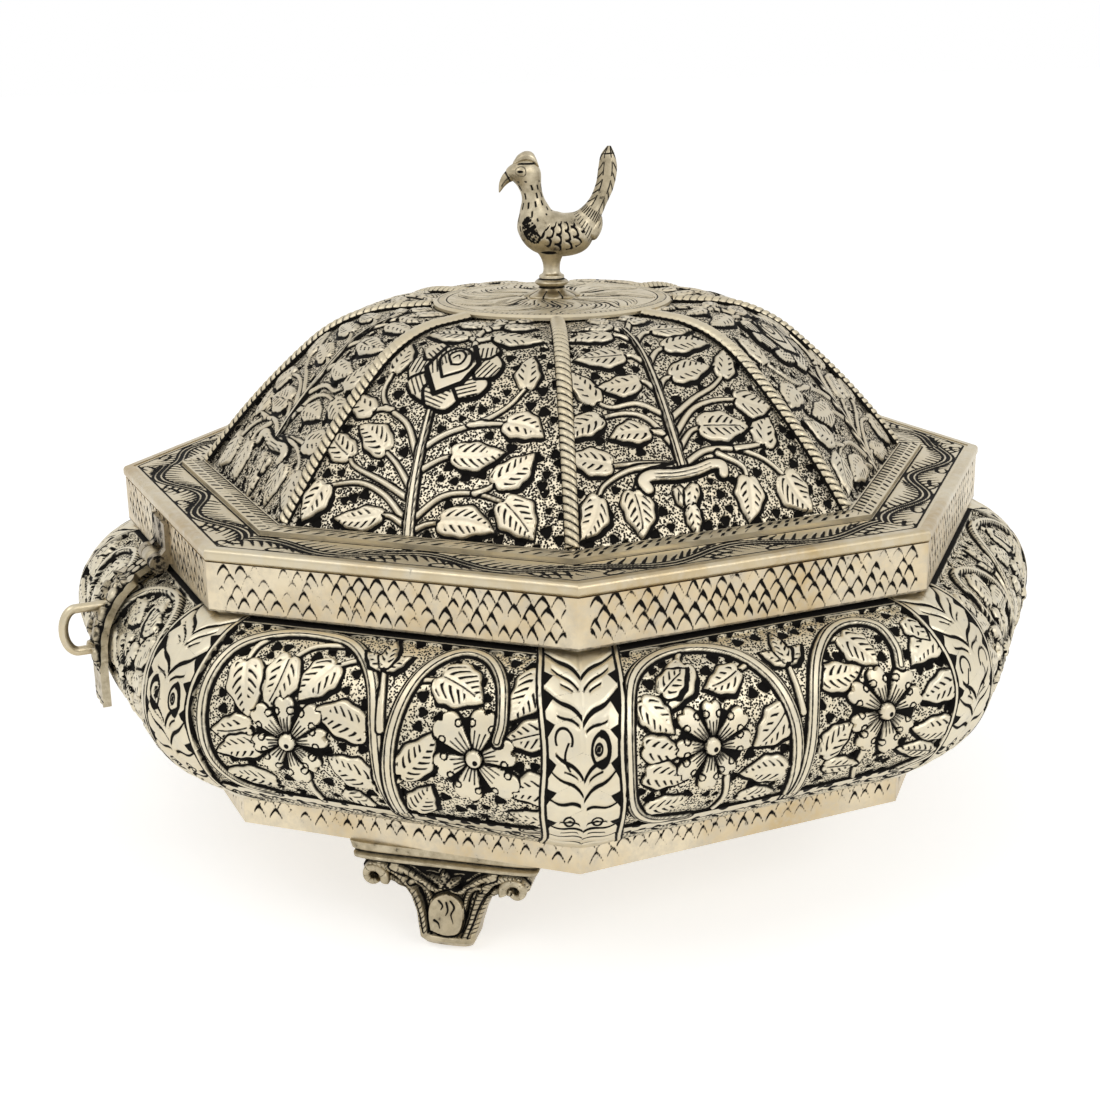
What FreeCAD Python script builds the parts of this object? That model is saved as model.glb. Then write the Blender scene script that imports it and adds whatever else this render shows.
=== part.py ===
import FreeCAD, Part
import Sketcher
import math
import os
import types

# Octagonal metal box with a hinged domed lid, a hasp with a wire pin and three cast feet.
# Millimetres, Z up, feet on the plane Z = 0. The pieces are drawn about the box's upright axis and
# then moved so that the origin is under the middle of the whole outline, clasp included.
# The clasp is at -Y and the hinge at +Y. A "flat" is the distance from the axis to a side.

Vector = FreeCAD.Vector
doc = FreeCAD.newDocument("octagonal_box")

# Driving sizes
driving = {
    "sheet_thick": 1.2,
    "foot_height": 19.5,
    "foot_setback": 0.4,
    "foot_half_top": 18.0,
    "foot_depth": 13.0,
    "band_height": 5.6,
    "bulge_flat": 95.0,
    "bulge_rise": 20.5,
    "knee_inset": 9.05,
    "knee_rise": 3.77,
    "sill_inset": 14.8,
    "neck_inset": 13.8,
    "shoulder_height": 15.4,
    "neck_clearance": 2.2,
    "skirt_gap": 0.6,
    "skirt_clearance": 0.8,
    "skirt_height": 8.9,
    "rim_rise": 2.2,
    "rim_lap": 1.7,
    "ledge_width": 13.8,
    "dome_seat": 2.7,
    "border_width": 4.4,
    "border_height": 0.9,
    "dome_shoulder_inset": 22.0,
    "dome_shoulder_rise": 25.3,
    "crown_run": 15.5,
    "crown_climb": 6.7,
    "top_run": 9.0,
    "top_climb": 0.4,
    "dome_side_radius": 150.0,
    "dome_crown_radius": 26.0,
    "dome_swell": 1.5,
    "rib_width": 3.2,
    "rib_height": 1.5,
    "medallion_lap": 3.3,
    "tang_radius": 1.5,
    "knop_height": 3.8,
    "knop_flare": 4.2,
    "washer_thick": 1.0,
    "nut_thick": 2.4,
    "bird_scale": 1.0,
    "knuckle_radius": 2.0,
    "knuckle_length": 9.6,
    "knuckle_pitch": 10.0,
    "knuckle_clearance": 0.3,
    "shoulder_clearance": 0.63,
    "hinge_pin_radius": 0.9,
    "leaf_length": 5.0,
    "leaf_thick": 0.9,
    "hasp_width": 9.0,
    "hasp_tongue_width": 5.0,
    "hasp_thick": 1.6,
    "hasp_standoff": 1.3,
    "hasp_drop": 10.4,
    "hasp_pin_radius": 0.7,
    "lug_radius": 1.8,
    "wire_radius": 0.92,
    "wire_bend": 1.9,
    "loop_reach": 6.4,
    "loop_upper_rise": 9.0,
    "loop_lower_rise": 0.5,
    "running_gap": 0.05,
}

sheet = doc.addObject("Spreadsheet::Sheet", "Sizes")
for row, (name, number) in enumerate(driving.items(), 1):
    sheet.set("A%d" % row, name)
    sheet.set("B%d" % row, str(number))
    sheet.setAlias("B%d" % row, name)
doc.recompute()


class Size:
    # A length that carries its number and its spreadsheet formula together.
    def __init__(self, text, value):
        self.text = text
        self.value = value

    def __add__(self, other):
        other = size_of(other)
        return Size("(%s + %s)" % (self.text, other.text), self.value + other.value)

    def __sub__(self, other):
        other = size_of(other)
        return Size("(%s - %s)" % (self.text, other.text), self.value - other.value)

    def __mul__(self, other):
        other = size_of(other)
        return Size("(%s * %s)" % (self.text, other.text), self.value * other.value)

    def __truediv__(self, other):
        other = size_of(other)
        return Size("(%s / %s)" % (self.text, other.text), self.value / other.value)

    def __neg__(self):
        return Size("(0 - %s)" % self.text, -self.value)

    def root(self):
        return Size("sqrt(%s)" % self.text, math.sqrt(self.value))


def size_of(number):
    return number if isinstance(number, Size) else Size("%.6f" % number, float(number))


s = types.SimpleNamespace(**{k: Size("Sizes." + k, v) for k, v in driving.items()})

tan_half = math.tan(math.radians(22.5))
cos_half = math.cos(math.radians(22.5))
side_names = ["right", "back_right", "back", "back_left", "left", "front_left", "front", "front_right"]

# Levels and flats that follow from the driving sizes, from the table up
band_top = s.foot_height + s.band_height
bulge_level = band_top + s.bulge_rise
shoulder_level = bulge_level + s.shoulder_height
skirt_low = shoulder_level + s.skirt_clearance
skirt_top = skirt_low + s.skirt_height
flange_level = skirt_top + s.rim_rise
flange_low = flange_level - s.sheet_thick
neck_top = flange_low - s.neck_clearance
sill_flat = s.bulge_flat - s.sill_inset
band_flat = sill_flat - s.sheet_thick
foot_flat = band_flat - s.foot_setback
neck_flat = s.bulge_flat - s.neck_inset
skirt_inner = neck_flat + s.skirt_gap
skirt_flat = skirt_inner + s.sheet_thick
flange_flat = skirt_flat - s.rim_lap

# The bulge's two arcs meet upright at its widest level
lower_drop = s.bulge_rise - s.knee_rise
lower_radius = (s.knee_inset * s.knee_inset + lower_drop * lower_drop) / (s.knee_inset * 2)
upper_square = s.neck_inset * s.neck_inset + s.shoulder_height * s.shoulder_height
upper_radius = upper_square / (s.neck_inset * 2)
upper_centre = s.bulge_flat - upper_radius

# Dome section, from its foot on the flange to the medallion
dome_flat = flange_flat - s.ledge_width
dome_shoulder_flat = dome_flat - s.dome_shoulder_inset
dome_shoulder_level = flange_level + s.dome_shoulder_rise
crown_flat = dome_shoulder_flat - s.crown_run
crown_level = dome_shoulder_level + s.crown_climb
dome_top_flat = crown_flat - s.top_run
medallion_low = crown_level + s.top_climb
medallion_top = medallion_low + s.sheet_thick
medallion_radius = dome_top_flat + s.medallion_lap

# Both hinge pins lie clear of the skirt and of the shoulder under them
hinge_flat = skirt_flat + s.knuckle_radius + s.knuckle_clearance
pin_run = hinge_flat - upper_centre
pin_rise = (upper_radius * upper_radius - pin_run * pin_run).root() + s.knuckle_radius + s.shoulder_clearance
hinge_level = bulge_level + pin_rise
loop_upper = bulge_level + s.loop_upper_rise
loop_lower = bulge_level + s.loop_lower_rise

pieces = {}


def new_body(label):
    body = doc.addObject("PartDesign::Body", label)
    body.Label = label
    return body


def keep(label, thing):
    thing.Label = label
    pieces[label] = thing
    return thing


def turn(thing, degrees):
    thing.Placement = FreeCAD.Placement(Vector(0, 0, 0), FreeCAD.Rotation(Vector(0, 0, 1), degrees))


def bind(thing, prop, size):
    thing.setExpression(prop, size_of(size).text)


def sketch_on(body, role, shift=None):
    sketch = body.newObject("Sketcher::SketchObject", "Sketch")
    plane = [o for o in body.Origin.OriginFeatures if o.Role == role][0]
    sketch.AttachmentSupport = [(plane, "")]
    sketch.MapMode = "FlatFace"
    if shift is not None:
        shift = size_of(shift)
        sketch.AttachmentOffset = FreeCAD.Placement(Vector(0, 0, shift.value), FreeCAD.Rotation())
        bind(sketch, "AttachmentOffset.Base.z", shift)
    return sketch


def hold(sketch, rules):
    # Adds a sketch's constraints together and ties each one with a size to the spreadsheet.
    first = sketch.ConstraintCount
    sketch.addConstraint([rule for rule, size in rules])
    for i, (rule, size) in enumerate(rules):
        if size is not None and "Sizes." in size.text:
            bind(sketch, "Constraints[%d]" % (first + i), size)


def at_point(shape, end, x, y):
    return [(Sketcher.Constraint(kind, -1, 1, shape, end, size.value), size)
            for kind, size in (("DistanceX", size_of(x)), ("DistanceY", size_of(y)))]


def line_or_arc(sketch, start, finish):
    # A corner is (x, y), or (x, y, radius, side) where an arc leads on to the next corner.
    # side is +1 with the arc's centre on the left of the way along, -1 with it on the right.
    ax, ay = size_of(start[0]).value, size_of(start[1]).value
    bx, by = size_of(finish[0]).value, size_of(finish[1]).value
    if len(start) == 2:
        shape = sketch.addGeometry(Part.LineSegment(Vector(ax, ay, 0), Vector(bx, by, 0)), False)
        return shape, 1, 2
    radius, side = size_of(start[2]).value, start[3]
    dx, dy = bx - ax, by - ay
    chord = math.hypot(dx, dy)
    reach = math.sqrt(max(radius * radius - chord * chord / 4, 0)) / chord
    cx = (ax + bx) / 2 - side * dy * reach
    cy = (ay + by) / 2 + side * dx * reach
    turn_from, turn_to = math.atan2(ay - cy, ax - cx), math.atan2(by - cy, bx - cx)
    if side < 0:
        turn_from, turn_to = turn_to, turn_from
    if turn_to < turn_from:
        turn_to += 2 * math.pi
    circle = Part.Circle(Vector(cx, cy, 0), Vector(0, 0, 1), radius)
    shape = sketch.addGeometry(Part.ArcOfCircle(circle, turn_from, turn_to), False)
    return (shape, 1, 2) if side > 0 else (shape, 2, 1)


def outline(sketch, corners, closed=True):
    count = len(corners)
    runs = [line_or_arc(sketch, corners[i], corners[(i + 1) % count])
            for i in range(count if closed else count - 1)]
    rules = []
    for i, (shape, start, finish) in enumerate(runs):
        if i or closed:
            before = runs[i - 1]
            rules.append((Sketcher.Constraint("Coincident", before[0], before[2], shape, start), None))
        rules += at_point(shape, start, corners[i][0], corners[i][1])
        if len(corners[i]) > 2:
            radius = size_of(corners[i][2])
            rules.append((Sketcher.Constraint("Radius", shape, radius.value), radius))
    if not closed:
        rules += at_point(runs[-1][0], runs[-1][2], corners[-1][0], corners[-1][1])
    hold(sketch, rules)


def disc(sketch, x, y, radius):
    x, y, radius = size_of(x), size_of(y), size_of(radius)
    ring = Part.Circle(Vector(x.value, y.value, 0), Vector(0, 0, 1), radius.value)
    shape = sketch.addGeometry(ring, False)
    rules = at_point(shape, 3, x, y)
    rules.append((Sketcher.Constraint("Radius", shape, radius.value), radius))
    hold(sketch, rules)


def pad(body, sketch, length, both=False, back=False):
    feature = body.newObject("PartDesign::Pad", "Pad")
    feature.Profile = sketch
    feature.SideType = "Symmetric" if both else "One side"
    feature.Reversed = back
    feature.Length = size_of(length).value
    bind(feature, "Length", length)
    return feature


def pocket(body, sketch):
    feature = body.newObject("PartDesign::Pocket", "Pocket")
    feature.Profile = sketch
    feature.Type = "ThroughAll"
    feature.SideType = "Symmetric"
    return feature


def revolve(body, sketch):
    feature = body.newObject("PartDesign::Revolution", "Revolution")
    feature.Profile = sketch
    feature.ReferenceAxis = (sketch, ["V_Axis"])
    feature.Angle = 360
    return feature


def swell(body, corners, axis_x, degrees):
    # A cushion on a panel: the lens between two curves, swung about an upright line behind the middle.
    sketch = sketch_on(body, "XZ_Plane")
    outline(sketch, corners)
    top = Vector(axis_x.value, 50, 0)
    shape = sketch.addGeometry(Part.LineSegment(Vector(axis_x.value, 0, 0), top), True)
    hold(sketch, at_point(shape, 1, axis_x, 0) + at_point(shape, 2, axis_x, 50))
    feature = body.newObject("PartDesign::Revolution", "Swell")
    feature.Profile = sketch
    feature.ReferenceAxis = (sketch, ["Axis0"])
    feature.Midplane = True
    feature.Angle = degrees
    return feature


def round_edges(body, base, radius, wanted):
    doc.recompute()
    names = ["Edge%d" % (i + 1) for i, e in enumerate(base.Shape.Edges) if wanted(e)]
    feature = body.newObject("PartDesign::Fillet", "Fillet")
    feature.Base = (base, names)
    feature.Radius = size_of(radius).value
    bind(feature, "Radius", radius)
    return feature


def octagon(flat):
    near, far = flat * tan_half, flat
    return [(far, -near), (far, near), (near, far), (-near, far),
            (-far, near), (-far, -near), (-near, -far), (near, -far)]


def octagon_ring(label, outer, inner, low, height):
    body = new_body(label)
    sketch = sketch_on(body, "XY_Plane", low)
    outline(sketch, octagon(outer))
    if inner is not None:
        outline(sketch, octagon(inner))
    feature = pad(body, sketch, height)
    keep(label, body)
    return body, feature


def gore(label, degrees, corners, reach, holes=(), lens=None, hollow=None):
    # One of eight panels: its wall section runs straight across and is mitred at both seams.
    # A lens swells its face; the hollow keeps the inside of the sheet plain.
    body = new_body(label)
    sketch = sketch_on(body, "XZ_Plane")
    outline(sketch, corners)
    spread = reach * tan_half + 3
    pad(body, sketch, spread * 2, both=True)
    if lens:
        swell(body, lens, -reach * 0.6, 36)
        inside = sketch_on(body, "XZ_Plane")
        outline(inside, hollow)
        pocket(body, inside)
    cut = sketch_on(body, "XY_Plane")
    near, far = reach * 0.05, reach + 4
    for way in (1, -1):
        outline(cut, [(near, near * tan_half * way), (far, far * tan_half * way),
                      (far, (spread + 8) * way), (near, (spread + 8) * way)])
    pocket(body, cut)
    if holes:
        drill = sketch_on(body, "YZ_Plane")
        for level, radius in holes:
            disc(drill, 0, level, radius)
        pocket(body, drill)
    turn(body, degrees)
    keep(label, body)


# Body: eight bulged wall panels between the base band and the neck
t = s.sheet_thick
knee_x = s.bulge_flat - s.knee_inset
wall_section = [
    (sill_flat, band_top),
    (knee_x, band_top + s.knee_rise, lower_radius, 1),
    (s.bulge_flat, bulge_level, upper_radius, 1),
    (neck_flat, shoulder_level),
    (neck_flat, shoulder_level - t, upper_radius - t, -1),
    (s.bulge_flat - t, bulge_level, lower_radius - t, -1),
    (knee_x - t * 0.548, band_top + s.knee_rise + t * 0.837),
    (sill_flat - t * 1.83, band_top),
]
for k, side in enumerate(side_names):
    front = side == "front"
    hole = s.wire_radius + 0.3
    gore("body_panel_" + side, 45 * k, wall_section, s.bulge_flat,
         [(loop_upper, hole), (loop_lower, hole)] if front else ())

# Neck collar that the lid's skirt slides over, base band and floor
neck_low = shoulder_level - t * 2.5
octagon_ring("neck_collar", neck_flat, neck_flat - t, neck_low, neck_top - neck_low)
octagon_ring("base_band", band_flat, band_flat - t, s.foot_height, s.band_height)
octagon_ring("floor_plate", band_flat - t - s.running_gap, None, s.foot_height, t)


# Three cast feet: a bracket outline seen from the front, met by an S-curved section
def foot(label, degrees):
    h, w = s.foot_height, s.foot_half_top
    face = new_body(label + "_face")
    sketch = sketch_on(face, "YZ_Plane")
    right = [
        (w * 0.18, size_of(0)),
        (w * 0.30, h * 0.13, h * 1.1, -1),
        (w * 0.46, h * 0.56, h * 0.16, -1),
        (w * 0.64, h * 0.66, w * 0.206, 1),
        (w * 0.98, h * 0.76),
        (w * 0.95, h * 0.88),
        (w, h * 0.90),
        (w, h),
    ]
    left = [(-x[0], x[1]) for x in right]
    mirrored = []
    for i in range(len(right) - 1, -1, -1):
        arc = right[i - 1] if i and len(right[i - 1]) > 2 else None
        mirrored.append(left[i] + ((arc[2], arc[3]) if arc else ()))
    outline(sketch, right + mirrored)
    f, d = foot_flat, s.foot_depth
    pad(face, sketch, f + w)
    section = new_body(label + "_section")
    sketch = sketch_on(section, "XZ_Plane")
    outline(sketch, [
        (f - d * 0.385, size_of(0)),
        (f - 0.6, size_of(0), h * 0.14, 1),
        (f + 0.4, h * 0.17),
        (f - 1.6, h * 0.42, h * 0.75, -1),
        (f + 0.6, h * 0.78, h * 0.30, 1),
        (f - 0.2, h * 0.89),
        (f + 0.2, h * 0.90),
        (f + 0.2, h),
        (f - d, h),
        (f - d * 0.954, h * 0.80, h * 0.9, 1),
        (f - d * 0.492, h * 0.30),
    ])
    pad(section, sketch, w * 3, both=True)
    solid = doc.addObject("Part::Common", label)
    solid.Base, solid.Tool = face, section
    turn(solid, degrees)
    keep(label, solid)


for label, degrees in (("foot_front", -40), ("foot_back", 80), ("foot_left", 200)):
    foot(label, degrees)

# Lid rim: flat flange, rounded edge bead and skirt
octagon_ring("lid_flange", flange_flat, dome_flat - s.dome_seat, flange_low, t)
bead_low = skirt_top
bead, bead_pad = octagon_ring("lid_edge_bead", skirt_flat + 0.3, flange_flat, bead_low,
                              flange_level + 0.2 - bead_low)
bead_edge = skirt_flat.value + 0.3


def on_bead_edge(edge):
    ends = [v.Point for v in edge.Vertexes]
    level = abs(ends[0].z - ends[1].z) < 0.01
    return level and all(abs(math.hypot(p.x, p.y) - bead_edge / cos_half) < 0.05 for p in ends)


round_edges(bead, bead_pad, 0.9, on_bead_edge)
octagon_ring("lid_skirt", skirt_flat, skirt_inner, skirt_low, s.skirt_height)
border_inner = dome_flat + s.running_gap * 2
octagon_ring("dome_border", border_inner + s.border_width, border_inner, flange_level, s.border_height)

# Dome: eight mitred panels with a wire rib along every seam
foot_x, side_x, crown_x = dome_flat, dome_shoulder_flat, crown_flat
side_z, crown_z = dome_shoulder_level, crown_level
dome_section = [
    (foot_x, flange_level, s.dome_side_radius, 1),
    (side_x, side_z, s.dome_crown_radius, 1),
    (crown_x, crown_z),
    (dome_top_flat, medallion_low),
    (dome_top_flat, medallion_low - t),
    (crown_x - t * 0.08, crown_z - t, s.dome_crown_radius - t, -1),
    (side_x - t * 0.677, side_z - t * 0.736, s.dome_side_radius - t, -1),
    (foot_x - t * 1.22, flange_level),
]
# Each panel swells between its seams, from the foot over the shoulder to the crown
def half_chord_square(start, finish):
    run, climb = start[0] - finish[0], start[1] - finish[1]
    return (run * run + climb * climb) / 4


def rise_of_arc(start, finish, radius):
    return radius - (radius * radius - half_chord_square(start, finish)).root()


def radius_of_rise(start, finish, rise):
    return (half_chord_square(start, finish) + rise * rise) / (rise * 2)


foot, shoulder, crown = (foot_x, flange_level), (side_x, side_z), (crown_x, crown_z)
crest = (side_x + s.dome_swell * 0.44, side_z + s.dome_swell * 0.478)
side_rise = rise_of_arc(foot, shoulder, s.dome_side_radius) + s.dome_swell * 0.57
crown_rise = rise_of_arc(shoulder, crown, s.dome_crown_radius) + s.dome_swell * 0.07
dome_lens = [
    foot + (radius_of_rise(foot, crest, side_rise), 1),
    crest + (radius_of_rise(crest, crown, crown_rise), 1),
    crown,
]
dome_hollow = [
    (dome_top_flat * 0.4, flange_level),
    (foot_x - t * 1.22, flange_level, s.dome_side_radius - t, 1),
    (side_x - t * 0.677, side_z - t * 0.736, s.dome_crown_radius - t, 1),
    (crown_x - t * 0.08, crown_z - t),
    (dome_top_flat, medallion_low - t),
    (dome_top_flat * 0.4, medallion_low - t),
]
for k, side in enumerate(side_names):
    gore("dome_panel_" + side, 45 * k, dome_section, dome_flat, lens=dome_lens, hollow=dome_hollow)


def rib(label, degrees):
    # The wire follows the seam, which lies at the panel section's distance over cos 22.5.
    body = new_body(label)
    lift, h = 0.07, s.rib_height
    foot_rise = s.border_height + 0.15
    seam = [
        (foot_x / cos_half - foot_rise * 0.686, flange_level + foot_rise, 0.80, 0.60),
        (side_x / cos_half, side_z, 0.64, 0.77),
        (crown_x / cos_half, crown_z, 0.073, 0.997),
        (medallion_radius + 0.5, medallion_low - 0.05, 0.05, 1.0),
    ]
    side_r, crown_r = s.dome_side_radius * 1.02, s.dome_crown_radius * 1.13
    low = [(x + lift * nx, z + lift * nz) for x, z, nx, nz in seam]
    high = [(x + h * nx + lift * nx, z + h * nz + lift * nz) for x, z, nx, nz in seam]
    sketch = sketch_on(body, "XZ_Plane")
    outline(sketch, [
        low[3], low[2] + (crown_r, -1), low[1] + (side_r, -1), low[0],
        high[0] + (side_r + h, 1), high[1] + (crown_r + h, 1), high[2], high[3],
    ])
    base = pad(body, sketch, s.rib_width, both=True)
    doc.recompute()
    half = s.rib_width.value / 2
    start = Vector(high[0][0].value, 0, high[0][1].value)

    def along_top(edge):
        if any(abs(abs(v.Point.y) - half) > 0.01 for v in edge.Vertexes):
            return False
        middle = edge.valueAt((edge.FirstParameter + edge.LastParameter) / 2)
        ends = [v.Point for v in edge.Vertexes]
        marks = [Vector(p[0].value, ends[0].y, p[1].value) for p in high]
        hits = [min(e.distanceToPoint(m) for m in marks) < 0.02 for e in ends]
        return all(hits) and middle.z > start.z

    round_edges(body, base, s.rib_height * 0.8, along_top)
    turn(body, degrees)
    keep(label, body)


for k in range(8):
    rib("dome_rib_%d" % (k + 1), 22.5 + 45 * k)

# Top medallion and the parts that hold the finial
body = new_body("top_medallion")
sketch = sketch_on(body, "XZ_Plane")
r = medallion_radius
bore = s.tang_radius + s.running_gap
outline(sketch, [
    (bore, medallion_low), (r, medallion_low), (r, medallion_top - 0.2), (r - 0.6, medallion_top),
    (r - 2.6, medallion_top), (r - 3.2, medallion_top - 0.35), (r * 0.36, medallion_top + 0.1),
    (bore, medallion_top + 0.1),
])
revolve(body, sketch)
keep("top_medallion", body)

knop_low = medallion_top + 0.1
knop_top = knop_low + s.knop_height
body = new_body("finial_knop")
sketch = sketch_on(body, "XZ_Plane")
outline(sketch, [
    (bore, knop_low), (bore + s.knop_flare, knop_low),
    (bore + s.knop_flare, knop_low + s.knop_height * 0.13),
    (bore + 1.3, knop_low + s.knop_height * 0.4, s.knop_height * 0.29, 1),
    (bore + 1.1, knop_top - s.knop_height * 0.08), (bore + 0.7, knop_top), (bore, knop_top),
])
revolve(body, sketch)
keep("finial_knop", body)

body = new_body("finial_washer")
sketch = sketch_on(body, "XY_Plane", medallion_low - s.washer_thick)
disc(sketch, 0, 0, bore + 3.2)
disc(sketch, 0, 0, bore)
pad(body, sketch, s.washer_thick)
keep("finial_washer", body)

body = new_body("finial_nut")
nut_low = medallion_low - s.washer_thick - s.nut_thick
sketch = sketch_on(body, "XY_Plane", nut_low)
across = s.tang_radius * 2.2
outline(sketch, [(across, across), (-across, across), (-across, -across), (across, -across)])
disc(sketch, 0, 0, bore)
pad(body, sketch, s.nut_thick)
keep("finial_nut", body)

# Bird finial: oval sections from the crown, down the neck, through the body and up the tail.
# Each section is (x, height above the knop, tilt, half depth, half width); the bird looks along -X.
sections = [
    (-5.0, 23.6, 0.0, 1.2, 0.9),
    (-5.2, 21.2, 0.0, 3.0, 2.2),
    (-3.9, 17.4, 2.0, 2.1, 1.8),
    (-3.3, 14.9, 8.0, 2.4, 2.1),
    (-3.4, 11.5, 26.6, 4.0, 3.6),
    (-1.6, 9.2, 55.0, 4.5, 4.4),
    (2.4, 8.5, 90.0, 4.4, 4.4),
    (6.4, 9.4, 117.8, 4.0, 3.8),
    (8.3, 12.0, 147.6, 2.7, 2.5),
    (9.8, 15.0, 168.0, 2.2, 2.0),
    (10.6, 18.4, 178.0, 2.0, 1.7),
    (11.2, 21.6, 180.0, 1.7, 1.4),
    (11.7, 24.2, 180.0, 1.3, 1.0),
    (12.0, 26.0, 180.0, 0.7, 0.5),
]
ovals = []
for i, (x, up, tilt, depth, width) in enumerate(sections):
    oval = doc.addObject("Part::Ellipse", "BirdOval%d" % i)
    oval.MajorRadius, oval.MinorRadius = depth, width
    oval.Placement = FreeCAD.Placement(Vector(x, 0, knop_top.value + up),
                                       FreeCAD.Rotation(Vector(0, 1, 0), -tilt))
    bind(oval, "MajorRadius", s.bird_scale * depth)
    bind(oval, "MinorRadius", s.bird_scale * width)
    bind(oval, "Placement.Base.x", s.bird_scale * x)
    bind(oval, "Placement.Base.z", knop_top + s.bird_scale * up)
    ovals.append(oval)
trunk = doc.addObject("Part::Loft", "BirdTrunk")
trunk.Sections = ovals
trunk.Solid = True


def primitive(kind, name, sizes, x, up, axis, degrees):
    thing = doc.addObject(kind, name)
    for prop, size in sizes.items():
        bind(thing, prop, size)
    thing.Placement = FreeCAD.Placement(Vector(x, 0, 0), FreeCAD.Rotation(axis, degrees))
    bind(thing, "Placement.Base.x", s.bird_scale * x)
    bind(thing, "Placement.Base.z", up)
    return thing


beak = primitive("Part::Cone", "BirdBeak",
                 {"Radius1": s.bird_scale * 1.35, "Radius2": size_of(0.25), "Height": s.bird_scale * 4.6},
                 -6.6, knop_top + s.bird_scale * 21.0, Vector(0, 1, 0), -131)
crest = primitive("Part::Cylinder", "BirdCrest", {"Radius": s.bird_scale * 2.2, "Height": size_of(1.4)},
                  -4.6, knop_top + s.bird_scale * 23.2, Vector(1, 0, 0), 90)
crest.Placement.Base = Vector(crest.Placement.Base.x, 0.7, 0)
bind(crest, "Placement.Base.y", 0.7)
leg = primitive("Part::Cone", "BirdLeg",
                {"Radius1": s.tang_radius + 0.75, "Radius2": s.tang_radius, "Height": s.bird_scale * 6},
                0.0, knop_top, Vector(0, 0, 1), 0)
tang_low = nut_low - 0.6
tang = primitive("Part::Cylinder", "BirdTang",
                 {"Radius": s.tang_radius, "Height": knop_top - tang_low + 1},
                 0.0, tang_low, Vector(0, 0, 1), 0)
bird = doc.addObject("Part::MultiFuse", "bird_finial")
bird.Shapes = [trunk, beak, crest, leg, tang]
turn(bird, 67.5)
keep("bird_finial", bird)


# Hinges: knuckles on a common pin along X, at a distance from the axis, with a leaf to one side
def knuckles(body, across, level, radius, web, stations, length):
    for place in stations:
        sketch = sketch_on(body, "YZ_Plane", place)
        disc(sketch, across, level, radius)
        pad(body, sketch, length, both=True)
        sketch = sketch_on(body, "YZ_Plane", place)
        outline(sketch, web)
        pad(body, sketch, length, both=True)


def bore_through(body, across, level, radius):
    sketch = sketch_on(body, "YZ_Plane")
    disc(sketch, across, level, radius)
    pocket(body, sketch)


pitch, knuckle = s.knuckle_pitch, s.knuckle_length
hinge_bore = s.hinge_pin_radius + s.running_gap
hinge_length = pitch * 4 + knuckle

# The body's leaf lies along the tangent of the shoulder, under the pin
touch_x = hinge_flat + 3.2
touch_run = touch_x - upper_centre
touch_rise = (upper_radius * upper_radius - touch_run * touch_run).root()
touch_z = bulge_level + touch_rise + 0.03
slope = touch_run / touch_rise


def shoulder_line(x, lift=0.0):
    return (x, touch_z - (x - touch_x) * slope + lift)


leaf_end = touch_x + s.leaf_length
leaf = [shoulder_line(touch_x - 1.2), shoulder_line(leaf_end - 0.5),
        shoulder_line(leaf_end, s.leaf_thick), shoulder_line(touch_x - 0.6, s.leaf_thick)]
body = new_body("hinge_leaf_body")
sketch = sketch_on(body, "YZ_Plane")
outline(sketch, leaf)
pad(body, sketch, hinge_length, both=True)
web = [shoulder_line(touch_x - 2.2, 0.15), shoulder_line(touch_x + 1.5, 0.05),
       (hinge_flat + s.knuckle_radius * 0.9, hinge_level + 0.6), (hinge_flat - 0.6, hinge_level - 1.4)]
knuckles(body, hinge_flat, hinge_level, s.knuckle_radius, web,
         [-(pitch * 2), size_of(0), pitch * 2], knuckle)
bore_through(body, hinge_flat, hinge_level, hinge_bore)
keep("hinge_leaf_body", body)

# The lid's leaf stands against the skirt, above the pin
body = new_body("hinge_leaf_lid")
sketch = sketch_on(body, "YZ_Plane")
leaf_low = hinge_level + s.knuckle_radius + 0.3
outline(sketch, [(skirt_flat, leaf_low), (skirt_flat + 0.8, leaf_low),
                 (skirt_flat + 0.8, skirt_top - 0.3), (skirt_flat, skirt_top - 0.3)])
pad(body, sketch, hinge_length, both=True)
web = [(skirt_flat, hinge_level - 0.2), (hinge_flat - 0.2, hinge_level - 0.2),
       (hinge_flat - 0.6, hinge_level + s.knuckle_radius * 0.9), (skirt_flat + 0.8, leaf_low + 0.4),
       (skirt_flat, leaf_low + 0.4)]
knuckles(body, hinge_flat, hinge_level, s.knuckle_radius, web, [-pitch, pitch], knuckle)
bore_through(body, hinge_flat, hinge_level, hinge_bore)
keep("hinge_leaf_lid", body)


def pin(label, across, level, radius, length, head, head_thick):
    body = new_body(label)
    sketch = sketch_on(body, "YZ_Plane")
    disc(sketch, across, level, radius)
    pad(body, sketch, length, both=True)
    for way in (1, -1):
        place = (length / 2 + head_thick / 2) * way
        sketch = sketch_on(body, "YZ_Plane", place)
        disc(sketch, across, level, head)
        pad(body, sketch, head_thick, both=True)
    keep(label, body)


pin("hinge_pin", hinge_flat, hinge_level, s.hinge_pin_radius, hinge_length + 0.4,
    s.hinge_pin_radius + 0.6, size_of(0.7))

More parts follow.
